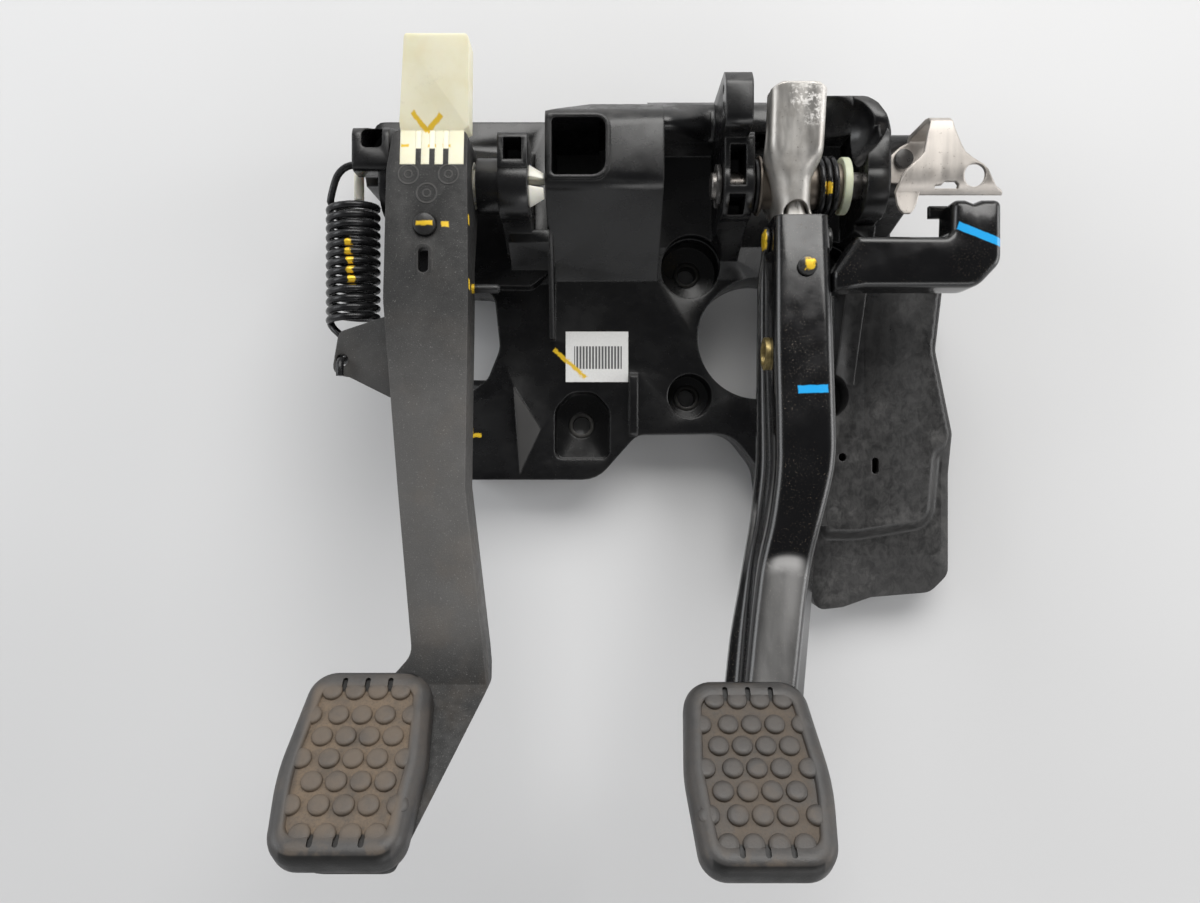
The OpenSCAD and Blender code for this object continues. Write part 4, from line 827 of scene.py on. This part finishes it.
LEVER_LEFT = [(93, -7.8), (68, -7.5), (64, -6.2), (56, -3.6), (47, -1.2), (12, -0.6)]
LEVER_RIGHT = [(93, 15.6), (67, 15.6), (63, 14.6), (58.5, 11.8), (46, 11.8), (40, 14), (12, 14.8)]
LEVER_FACE = [(93, 105), (65, 98.2), (60, 95.2), (44, 90.9), (12, 95.5)]
LEVER_DEPTH = [(93, 7), (75, 8), (70, 11), (66, 16), (62, 34), (58, 38), (52, 34), (46, 26), (40, 20),
               (12, 18)]
LEVER_BEND = [(93, 4), (67, 4), (60, 6.2), (44, 6.2), (38, 3.6), (12, 3.6)]


def brake_lever_piece(material):
    """Bare pressed crash lever: a channel that narrows in a shoulder above the arm."""
    sheet, fillet = 2.5, 0.25
    top_y, low_y = 93, 12
    corner_reach, corner_drop, corner_start = 3.0, 2.2, 0.62
    loops = []
    for y in range(top_y, low_y - 1, -1):
        left, right, deep, bend = (softened(table, y, 3)
                                   for table in (LEVER_LEFT, LEVER_RIGHT, LEVER_DEPTH, LEVER_BEND))
        top = softened(LEVER_FACE, y, 2.5)
        corner = max(0.0, 1 - (top_y - y) / corner_reach) * corner_drop
        mid, half = (left + right) / 2, (right - left) / 2
        ring = []
        for x, t in sheet_ring(channel_profile(left, right, left - 0.3, deep, bend, fillet), sheet):
            drop = corner * max(0.0, abs(x - mid) / half - corner_start) / (1 - corner_start)
            ring.append(Vector((x, y - drop, top - t)) * MM)
        loops.append(ring)
    piece = solid("brake_crash_lever_pressing", *rings(loops), material, crease=42)
    cut_out(piece, disc(0.0055, 0.0426, 0.0056), 0.082, 0.100)
    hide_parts("brake_crash_lever")
    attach(piece, "brake")


# Corners of (x, y, radius), in millimetres
FLAG = [(19, 8, 0.3), (31.6, 9.5, 4), (79, 9.5, 10), (89, 20, 8), (89, 46.2, 3), (81, 46.2, 2),
        (77.5, 44.8, 1), (74, 46.2, 2), (68.5, 46.2, 2.8), (68, 31, 3), (29, 31, 2.8), (19, 16, 1.5)]


def flag_arm_piece(material):
    """Pressed flag arm: rounded over its edges, open at the back, dented where it turns off the arm."""
    steps = [(2.8, 100.0), (2.0, 99.85), (1.2, 99.4), (0.55, 98.6), (0.15, 97.6), (0.0, 96.4), (0.0, 84.3),
             (0.3, 84.0), (2.3, 84.0), (2.5, 84.3), (2.5, 96.4), (2.8, 97.0)]

    dents = ((28, 24, 2.2, 12), (24, 13, 1.2, 16))
    crease_x, crease_y, crease_slant, crease_w, crease_deep = 62, 20, 0.25, 2.2, 0.6
    back = 95

    def bent(p, z):
        if z <= back:
            return Vector((p.x, p.y, z)) * MM
        dent = sum(deep * math.exp(-((p.x - x) ** 2 + (p.y - y) ** 2) / wide) for x, y, deep, wide in dents)
        off = p.x - crease_x - (p.y - crease_y) * crease_slant
        crease = crease_deep * math.exp(-(off / crease_w) ** 2)
        return Vector((p.x, p.y, z - (dent + crease))) * MM

    loops = [[bent(p, z) for p in rounded(shrunk(FLAG, gap), 8)] for gap, z in steps]
    piece = solid("switch_flag_pressing", *rings(loops), material, crease=42)
    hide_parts("switch_flag_arm")
    tab_rows = [(61.8, 69.5, y, 89.2) for y in (45.6, 43, 40.6)]
    tab = solid("switch_flag_tab", *ribbon(tab_rows, 2.4), material)
    for part in (piece, tab):
        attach(part, "brake")


# Rows of (left, right, y, z) along the sheet, in millimetres
SWITCH_ROWS = [
    (48.3, 64.7, 58, 81), (48.3, 64.7, 70, 81), (52, 64.7, 73.5, 81), (55.7, 64.7, 75.5, 81.3),
    (55.7, 64.7, 76.7, 82.5), (55.7, 64.7, 77, 85), (55.7, 64.7, 77, 103), (55.9, 64.8, 76.6, 105.4),
    (56.2, 65.2, 75.3, 106.8), (55.6, 65.8, 73, 107), (55, 66.8, 70.4, 107), (54.2, 68.6, 66, 107),
    (53.6, 70.2, 63.1, 107), (51.5, 73.6, 60.5, 106.9), (48.7, 77.4, 58.2, 106.8), (46.6, 79.6, 56.2, 106.7),
    (45.4, 80.6, 54.5, 106.4), (44.6, 81.6, 52.8, 106), (44.1, 82.9, 51.2, 105.3), (43.7, 84.6, 49.7, 104.2),
    (43.4, 87.2, 48.5, 102.8), (43.4, 87.4, 47.6, 101.6)]
SWITCH_LOBE = [(43.4, 53.5, 48.4, 102.6), (43.7, 52.6, 46, 102.4), (44.2, 51.8, 43, 102.3),
               (45.4, 50.8, 40.6, 102.2), (46.8, 49.6, 39.3, 102.2)]
SWITCH_SLOT = [(58.7, 50.2), (58.7, 48.9), (68.4, 48.9), (68.4, 50.4), (67, 51.6), (62.6, 51.6), (61.6, 50.4)]


def switch_bracket_piece(material):
    """Bare sheet of the switch: a foot, a riser and a flaring top with a turned lower edge and a lobe."""
    piece = solid("switch_bracket_sheet", *ribbon(SWITCH_ROWS, 2.0), material, crease=42)
    cut_out(piece, disc(0.0745, 0.0540, 0.0045), 0.095, 0.115)
    cut_out(piece, [(x * MM, y * MM) for x, y in SWITCH_SLOT], 0.095, 0.115)
    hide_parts("switch_bracket")
    lobe = solid("switch_bracket_lobe", *ribbon(SWITCH_LOBE, 1.9), material, crease=42)
    for part in (piece, lobe):
        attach(part, "bracket")


# Rows of (y, height at the hump, height at the roof), in millimetres
SADDLE = [(104.4, 51.6, 51.6), (102, 57, 57), (99, 63.1, 60.5), (96, 68.1, 61.8), (93, 72.4, 62.1),
          (90, 74.2, 61.9), (88, 74.7, 61.0), (86.4, 74.4, 59.8), (85.2, 73.4, 58.6), (84.4, 71.6, 57.4),
          (84.1, 69.0, 56.9)]


def roof_saddle(material):
    """Soft saddle of the moulding where the hump runs into the lower roof beside it."""
    left, right, steps = -50.3, -27.5, 16
    thick, sweep = 3.0, 1.6
    loops = []
    for y, high, low in SADDLE:
        over = []
        for k in range(steps + 1):
            share = math.cos(math.pi / 2 * k / steps) ** sweep
            over.append((left + (right - left) * k / steps, low + (high - low) * share))
        under = [(x, low - thick) for x, z in reversed(over)]
        loops.append([Vector((x, y, z)) * MM for x, z in over + under])
    piece = solid("bracket_roof_saddle", *rings(loops), material, crease=40)
    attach(piece, "bracket")


# Corners of (x, y, radius), in millimetres; the soft panel runs on past the edge of the skirt
SKIRT = [(14, -92, 4), (31, -139, 5), (44, -137.5, 10), (58, -132.5, 10), (88, -130, 9), (97, -121, 8),
         (97, -70, 10), (99, -50, 12), (90.5, -8, 14), (94.5, 26, 5), (40, 26, 4)]
SOFT_PANEL = [(0, 60, 0), (0, -99.8, 0), (50, -99.8, 30), (86, -94, 9), (88.9, -60, 7), (101, -49.5, 6),
              (120, -49.5, 0), (120, 60, 0)]
SKIRT_SLOT = [(56.3, -70, 1.6), (59.7, -70, 1.6), (59.7, -62, 1.6), (56.3, -62, 1.6)]


def ease(low, high, value):
    """Smooth step from 0 at low to 1 at high."""
    t = max(0.0, min(1.0, (value - low) / (high - low)))
    return t * t * (3 - 2 * t)


def depth_in(outline, x, y):
    """Distance from a point to a closed outline, positive inside."""
    best, inside = 1e9, False
    for a, b in zip(outline, outline[1:] + outline[:1]):
        dx, dy = b.x - a.x, b.y - a.y
        square = dx * dx + dy * dy
        t = max(0.0, min(1.0, ((x - a.x) * dx + (y - a.y) * dy) / square)) if square else 0.0
        best = min(best, math.hypot(x - a.x - t * dx, y - a.y - t * dy))
        if (a.y > y) != (b.y > y) and x < a.x + (y - a.y) * dx / dy:
            inside = not inside
    return best if inside else -best


def skirt_height(edge, panel, x, y):
    """Top and underside of the soft skin of the skirt, or None where it leaves the moulding bare."""
    well_x, well_y, left = 49.5, -49, 31  # the skin stays out of the well and begins at the left
    lip, shoulder = 0.9, 4.6  # it rolls off between these distances from the rim
    foot, brow = -4.2, 2.4  # the step rises between these distances from the panel's edge
    flat, step, fall, sunk = 20.03, 8.02, 1.9, 19.9
    back_of_panel, back, panel_top = 25.2, 19.0, 26.0
    rim = depth_in(edge, x, y)
    if rim < lip or (x < well_x and y > well_y):
        return None
    cover = max(ease(well_x, 54.0, x), ease(well_y, -54, y)) * ease(left, 35, x)
    deep = depth_in(panel, x, y)
    rise = ease(foot, brow, deep - 6.8 * (1 - cover))
    z = flat + (step - fall * ease(60, 86, x)) * rise - 0.12 * ease(-109, -116, y)
    high = sunk + (z - sunk) * ease(lip, shoulder, rim) - 0.16 * (1 - cover)
    return high, back_of_panel if high > panel_top and deep > brow else back


def skirt_skin(material):
    """Soft skin of the skirt, where its raised panel runs out in a rounded step."""
    edge, panel = rounded(SKIRT), rounded(SOFT_PANEL)
    grid, columns, rows = 0.8, 85, 177
    left, low = 31, -116
    heights = {}
    for i in range(columns):
        for j in range(rows):
            pair = skirt_height(edge, panel, left + grid * i, low + grid * j)
            if pair:
                heights[i, j] = pair
    spots = {spot: k for k, spot in enumerate(heights)}
    count = len(spots)
    points = [Vector((left + grid * i, low + grid * j, pair[side])) * MM
              for side in (0, 1) for (i, j), pair in heights.items()]
    faces, rims = [], {}
    for i, j in heights:
        ring = [(i, j), (i + 1, j), (i + 1, j + 1), (i, j + 1)]
        if not all(spot in spots for spot in ring):
            continue
        around = [spots[spot] for spot in ring]
        faces.append(tuple(around))
        faces.append(tuple(k + count for k in reversed(around)))
        for a, b in zip(around, around[1:] + around[:1]):
            if not rims.pop((b, a), None):
                rims[a, b] = (b, a, a + count, b + count)
    piece = solid("bracket_skirt_skin", points, faces + list(rims.values()), material, crease=50)
    for outline in (disc(0.0417, -0.0618, 0.002), [p * MM for p in rounded(SKIRT_SLOT, 5)]):
        cut_out(piece, outline, 0.010, 0.040)
    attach(piece, "bracket")


def assist_spring_path():
    """Points of the assist spring from its upper hook to the tip of its lower hook."""
    s = sizes()
    x, z, top, low = -187.0, 78.0, 50.0, -2.0
    r = (s.spring_d - s.spring_wire) / MM / 2
    wx, wy, wz = -188.5, -20.0, 90.0
    per_turn = 36
    count = per_turn * s.spring_turns
    points = [(x + 9, 67, z), (x + 5, 67, z), (x + 1, 67, z), (x - 1.2, 66.8, z), (x - 3, 66.2, z),
              (x - 4.6, 65.2, z), (x - 6, 63.8, z), (x - 7.2, 62, z), (x - 8, 60, z), (x - 8.7, 57.6, z),
              (x - 9.4, 54.8, z), (x - 9.9, 52.4, z), (x - r, 51, z - 0.2)]
    for i in range(1, count + 1):
        a = math.pi + 2 * math.pi * i / per_turn
        points.append((x + r * math.cos(a), top - (top - low) * i / count, z + r * math.sin(a)))
    points += [(x - r * 0.92, low - 1.6, z + 1.0), (x - r * 0.78, low - 3.4, z + 2.0),
               (x - r * 0.5, low - 6, z + 2.4), (x - 2.4, low - 9, z + 2.6), (x - 1.6, low - 12, z + 2.8),
               (wx, wy + 3, z + 3.2), (wx, wy + 0.9, z + 4.4), (wx, wy, z + 7), (wx, wy, wz),
               (wx, wy - 0.5, wz + 2.2), (wx, wy - 2.2, wz + 3.4), (wx, wy - 4.6, wz + 3.6),
               (wx, wy - 7, wz + 3.6)]
    return [Vector(p) * MM for p in points]


def return_spring_path():
    """Points of the torsion spring: a leg under the arm, the coil about the hub, a leg on the bracket."""
    s = sizes()
    wire = s.return_wire / MM
    r = s.return_d / MM / 2
    beside, clear, under = 15.5, 0.4, 0.3
    x0 = beside + wire / 2 + clear
    pitch = wire + 0.35
    points = [(x0, y, arm_line(y) - ARM_DEPTH - wire / 2 - under) for y in (28, 34, 40)]
    start, sweep, steps = 240, 1020, 102
    hub_y, hub_z = 60, 70
    wide = pitch * sweep / 360
    for i in range(steps + 1):
        a = math.radians(start + sweep * i / steps)
        points.append((x0 + wide * i / steps, hub_y + r * math.cos(a), hub_z + r * math.sin(a)))
    points += [(x0 + wide, hub_y - r, 60), (x0 + wide, hub_y - r, 38.4)]
    return [Vector(p) * MM for p in points]


class PEDALBOX_OT_stage(bpy.types.Operator):
    """Pale floor, soft light and a camera that looks straight down on the pedal box"""
    bl_idname = "pedalbox.stage"
    bl_label = "Stage"

    def execute(self, context):
        scene = context.scene
        scene.view_settings.view_transform = "Standard"
        view = scene.pedal_box_view
        data = bpy.data.cameras.new("photo_camera")
        data.lens = view.lens
        data.sensor_width = 36.0
        data.sensor_fit = "HORIZONTAL"
        data.clip_start = 0.01
        camera = bpy.data.objects.new("photo_camera", data)
        camera.location = view.camera
        scene.collection.objects.link(camera)
        scene.camera = camera
        mesh = bpy.data.meshes.new("floor")
        reach, z = 4, -0.0003
        corners = [(-reach, -reach, z), (reach, -reach, z), (reach, reach, z), (-reach, reach, z)]
        mesh.from_pydata(corners, [], [(0, 1, 2, 3)])
        tone = colours().floor
        f = Finish("floor_pale", [v * 0.97 for v in tone])
        f.cover(tone, f.span(f.noise(3, 2), 0.3, 0.7))
        f.done(rough=0.55)
        put("floor", mesh, f.material)
        self.light("window", (0.15, 1.05, 1.15), 1.4, 0.9, 23.0, (1.0, 0.99, 0.97))
        self.light("side_window", (-1.25, 0.25, 0.75), 0.9, 0.6, 6.0, (0.96, 0.98, 1.0))
        self.light("right_window", (1.35, 0.05, 0.55), 0.8, 0.6, 7.0, (1.0, 1.0, 1.0))
        self.light("low_fill", (0.55, -1.15, 0.85), 1.0, 0.5, 3.5, (1.0, 0.99, 0.98))
        self.sky(scene)
        return {"FINISHED"}

    def light(self, name, place, wide, high, power, tint):
        data = bpy.data.lights.new(name, "AREA")
        data.shape = "RECTANGLE"
        data.size, data.size_y, data.energy, data.color = wide, high, power, tint
        lamp = bpy.data.objects.new(name, data)
        lamp.location = place
        middle = Vector((-0.05, -0.03, 0.06))
        aim = middle - Vector(place)
        lamp.rotation_euler = aim.to_track_quat("-Z", "Y").to_euler()
        bpy.context.scene.collection.objects.link(lamp)

    def sky(self, scene):
        """Room light that is bright round the sides and dimmer overhead."""
        world = bpy.data.worlds.new("room")
        world.use_nodes = True
        room = Nodes(world.node_tree)
        spot = room.add("ShaderNodeTexCoord").outputs["Generated"]
        ramp = room.add("ShaderNodeMapRange", {
            "Value": room.split(spot)["Z"], "From Min": 0.20, "From Max": 0.90, "To Min": 0.75, "To Max": 0.08})
        back = room.tree.nodes["Background"]
        room.feed(back.inputs["Strength"], ramp.outputs[0])
        room.feed(back.inputs["Color"], (0.98, 0.99, 1.0, 1.0))
        scene.world = world


class PEDALBOX_OT_bracket(bpy.types.Operator):
    """Moulded bracket with its sleeves, label, pivot pins and switch bracket"""
    bl_idname = "pedalbox.bracket"
    bl_label = "Bracket"

    def execute(self, context):
        c = colours()
        black = moulding_finish()
        dressed("bracket", black, 0.0009, sharp=40)
        roof_saddle(black)
        skirt_skin(black)
        plated = dark_steel_finish("sleeve_steel", (0.06, 0.058, 0.055), 0.42)
        dressed("bolt_sleeves", plated, 0.0004)
        paint("part_label", label_finish())
        pin = steel_finish("pin_steel", (0.20, 0.19, 0.18), rough=0.30)
        dressed("brake_pivot_pin", pin, 0.0008)
        dark = dark_steel_finish("clip_steel", (0.05, 0.048, 0.046))
        dressed("brake_pivot_clip", dark, 0.0003)
        sheet = steel_finish("switch_sheet", (0.58, 0.54, 0.50), rough=0.46)
        switch_bracket_piece(sheet)
        dressed("switch_bracket_screws", dark, 0.0005)
        white = natural_plastic_finish("pin_white", c.white)
        dressed("clutch_pivot_pin", white, 0.0005)
        dressed("spring_anchor_bush", natural_plastic_finish("sleeve_white", c.white), 0.0003)
        return {"FINISHED"}


class PEDALBOX_OT_brake_pressings(bpy.types.Operator):
    """Brake arm, its bare crash lever and the flag arm, lofted from their sections"""
    bl_idname = "pedalbox.brake_pressings"
    bl_label = "Brake Pressings"

    def execute(self, context):
        arm = gloss_finish("arm_gloss", [((0.0090, 0.0062), (-0.0333, 0.0016), 0.0008, 0.04, 0.0003, 0.09)],
                           [((-0.0030, 0.0085), (-0.1072, 0.0010), -0.30)], trodden_with_reflection=True)
        brake_arm_piece(arm)
        lever = steel_finish("lever_steel", tuple(colours().steel),
                             [((0.0080, 0.0070), (0.0875, 0.0040)), ((0.0110, 0.0030), (0.0815, 0.0040))], 0.44)
        brake_lever_piece(lever)
        flag = gloss_finish("flag_gloss", [((0.0796, 0.0100), (0.0313, 0.0016), 0.0006, -0.38, 0.0003, 0.09)])
        flag_arm_piece(flag)
        return {"FINISHED"}


class PEDALBOX_OT_brake_hub(bpy.types.Operator):
    """Hub tube, bushes, collar, rivet, joint pin and pad plate of the brake pedal"""
    bl_idname = "pedalbox.brake_hub"
    bl_label = "Brake Hub"

    def execute(self, context):
        c = colours()
        tube = steel_finish("hub_tube_steel", (0.22, 0.19, 0.16), rough=0.40)
        dressed("brake_hub_tube", tube, 0.0004)
        bush = dark_steel_finish("bush_black", (0.02, 0.02, 0.021), 0.42)
        dressed("brake_bushes", bush, 0.0003)
        collar = natural_plastic_finish("collar_pale", c.pale_green)
        dressed("brake_spring_collar", collar, 0.0005)
        dressed("brake_clevis_bushes", brass_finish(), 0.0004)
        rivet = dark_steel_finish("rivet_dark", (0.03, 0.03, 0.03), 0.25, [
            ((-0.0078, 0.0010), (0.0325, 0.0040), 0.002)])
        dressed("brake_lever_rivets", rivet, 0.0006)
        pin = dark_steel_finish("joint_pin_dark", (0.04, 0.04, 0.04), 0.25, [
            ((0.0092, 0.0022), (0.0190, 0.0022), 0.003)])
        dressed("brake_joint_pin", pin, 0.0007)
        plate = gloss_finish("plate_gloss")
        dressed("brake_pad_plate", plate, 0.0006)
        return {"FINISHED"}


class PEDALBOX_OT_clutch(bpy.types.Operator):
    """Clutch arm with its crash lever, screw, side pin and bushes"""
    bl_idname = "pedalbox.clutch"
    bl_label = "Clutch Pedal"

    def execute(self, context):
        c = colours()
        dressed("clutch_arm", clutch_arm_finish(), 0.0008, sharp=30)
        marks = [((-0.1543, 0.0045), (0.0799, 0.0010), 0.0016, -0.88),
                 ((-0.1484, 0.0045), (0.0793, 0.0010), 0.0016, 0.76)]
        marks += [((x, 0.0016), (0.0702, 0.0006), 0.0012) for x in (-0.1609, -0.1495, -0.1432)]
        lever = natural_plastic_finish("lever_ivory", c.ivory, marks, 0.18, 0.15)
        dressed("clutch_crash_lever", lever, 0.0008)
        screw = dark_steel_finish("screw_black", (0.02, 0.02, 0.02), 0.34, [
            ((-0.1516, 0.0034), (0.0360, 0.0009), 0.0012)])
        dressed("clutch_lever_screw", screw, 0.0007)
        side = dark_steel_finish("side_pin_black", (0.015, 0.015, 0.016), 0.40, [
            ((-0.1335, 0.0012), (0.0108, 0.0030), 0.001)])
        dressed("clutch_switch_pin", side, 0.0005)
        dressed("clutch_bushes", natural_plastic_finish("bush_white", c.white), 0.0004)
        return {"FINISHED"}


class PEDALBOX_OT_pads(bpy.types.Operator):
    """Rubber pads: a rounded slab with a sunk field, and studs set out by nodes"""
    bl_idname = "pedalbox.pads"
    bl_label = "Pads"

    def execute(self, context):
        s = sizes()
        group = stud_tree()
        both_ways = 1.64  # a stud stands half above the field and half below it
        for name, body, centre, side, dust in (
                ("brake_pad", "brake", (-0.0225, -0.171, 0.154), 1, 0.50),
                ("clutch_pad", "clutch", (-0.1665, -0.1675, 0.154), -1, 0.95)):
            rubber = rubber_finish(name + "_rubber", centre, dust)
            slab = pad_body(name + "_slab", centre, side, rubber)
            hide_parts(name)
            studs = grown(name + "_studs", pad_marks(side), [], group,
                          {"Diameter": s.stud_d, "Height": s.stud_h * both_ways}, rubber)
            studs.data.transform(pad_place(centre))
            for piece in (slab, studs):
                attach(piece, body)
        return {"FINISHED"}


class PEDALBOX_OT_springs(bpy.types.Operator):
    """Assist spring and torsion spring, as wire grown along their paths"""
    bl_idname = "pedalbox.springs"
    bl_label = "Springs"

    def execute(self, context):
        s = sizes()
        group = wire_tree()
        black = (0.012, 0.012, 0.013)
        assist = dark_steel_finish("assist_wire", black, 0.26, [
            ((-0.1857, 0.0013), (0.0227, 0.0100), 0.004, 0.10, 0.0004, 0.084)])
        back = dark_steel_finish("return_wire", black, 0.28, [((0.0215, 0.0014), (0.0560, 0.0022), 0.004)])
        for name, node, path, wire, look, far in (
                ("assist_spring_wire", "clutch_assist_spring", assist_spring_path(), s.spring_wire, assist,
                 "clutch"),
                ("return_spring_wire", "brake_return_spring", return_spring_path(), s.return_wire, back,
                 "brake")):
            edges = [(i, i + 1) for i in range(len(path) - 1)]
            piece = grown(name, path, edges, group, {"Wire": wire, "Sides": 12}, look)
            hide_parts(node)
            if far == "clutch":
                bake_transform(piece)
            else:
                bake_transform(piece)
        return {"FINISHED"}


STEPS = (PEDALBOX_OT_stage, PEDALBOX_OT_bracket, PEDALBOX_OT_brake_pressings, PEDALBOX_OT_brake_hub,
         PEDALBOX_OT_clutch, PEDALBOX_OT_pads, PEDALBOX_OT_springs)


class PEDALBOX_PT_panel(bpy.types.Panel):
    """Sizes, colours and steps of the pedal box"""
    bl_idname = "PEDALBOX_PT_panel"
    bl_label = "Pedal Box"
    bl_space_type = "VIEW_3D"
    bl_region_type = "UI"
    bl_category = "Pedal Box"

    def draw(self, context):
        scene = context.scene
        for group in (scene.pedal_box_sizes, scene.pedal_box_colours, scene.pedal_box_view):
            column = self.layout.column(align=True)
            for key in group.__annotations__:
                column.prop(group, key)
        for step in STEPS:
            self.layout.operator(step.bl_idname)


CLASSES = (PedalBoxColours, PedalBoxSizes, PedalBoxView, *STEPS, PEDALBOX_PT_panel)


def register():
    for item in CLASSES:
        bpy.utils.register_class(item)
    bpy.types.Scene.pedal_box_colours = PointerProperty(type=PedalBoxColours)
    bpy.types.Scene.pedal_box_sizes = PointerProperty(type=PedalBoxSizes)
    bpy.types.Scene.pedal_box_view = PointerProperty(type=PedalBoxView)


def unregister():
    for key in ("pedal_box_view", "pedal_box_sizes", "pedal_box_colours"):
        delattr(bpy.types.Scene, key)
    for item in reversed(CLASSES):
        bpy.utils.unregister_class(item)


def main():
    register()
    bpy.ops.pedalbox.stage()
    bpy.ops.pedalbox.bracket()
    bpy.ops.pedalbox.brake_pressings()
    bpy.ops.pedalbox.brake_hub()
    bpy.ops.pedalbox.clutch()
    bpy.ops.pedalbox.pads()
    bpy.ops.pedalbox.springs()


if __name__ == "__main__":
    main()
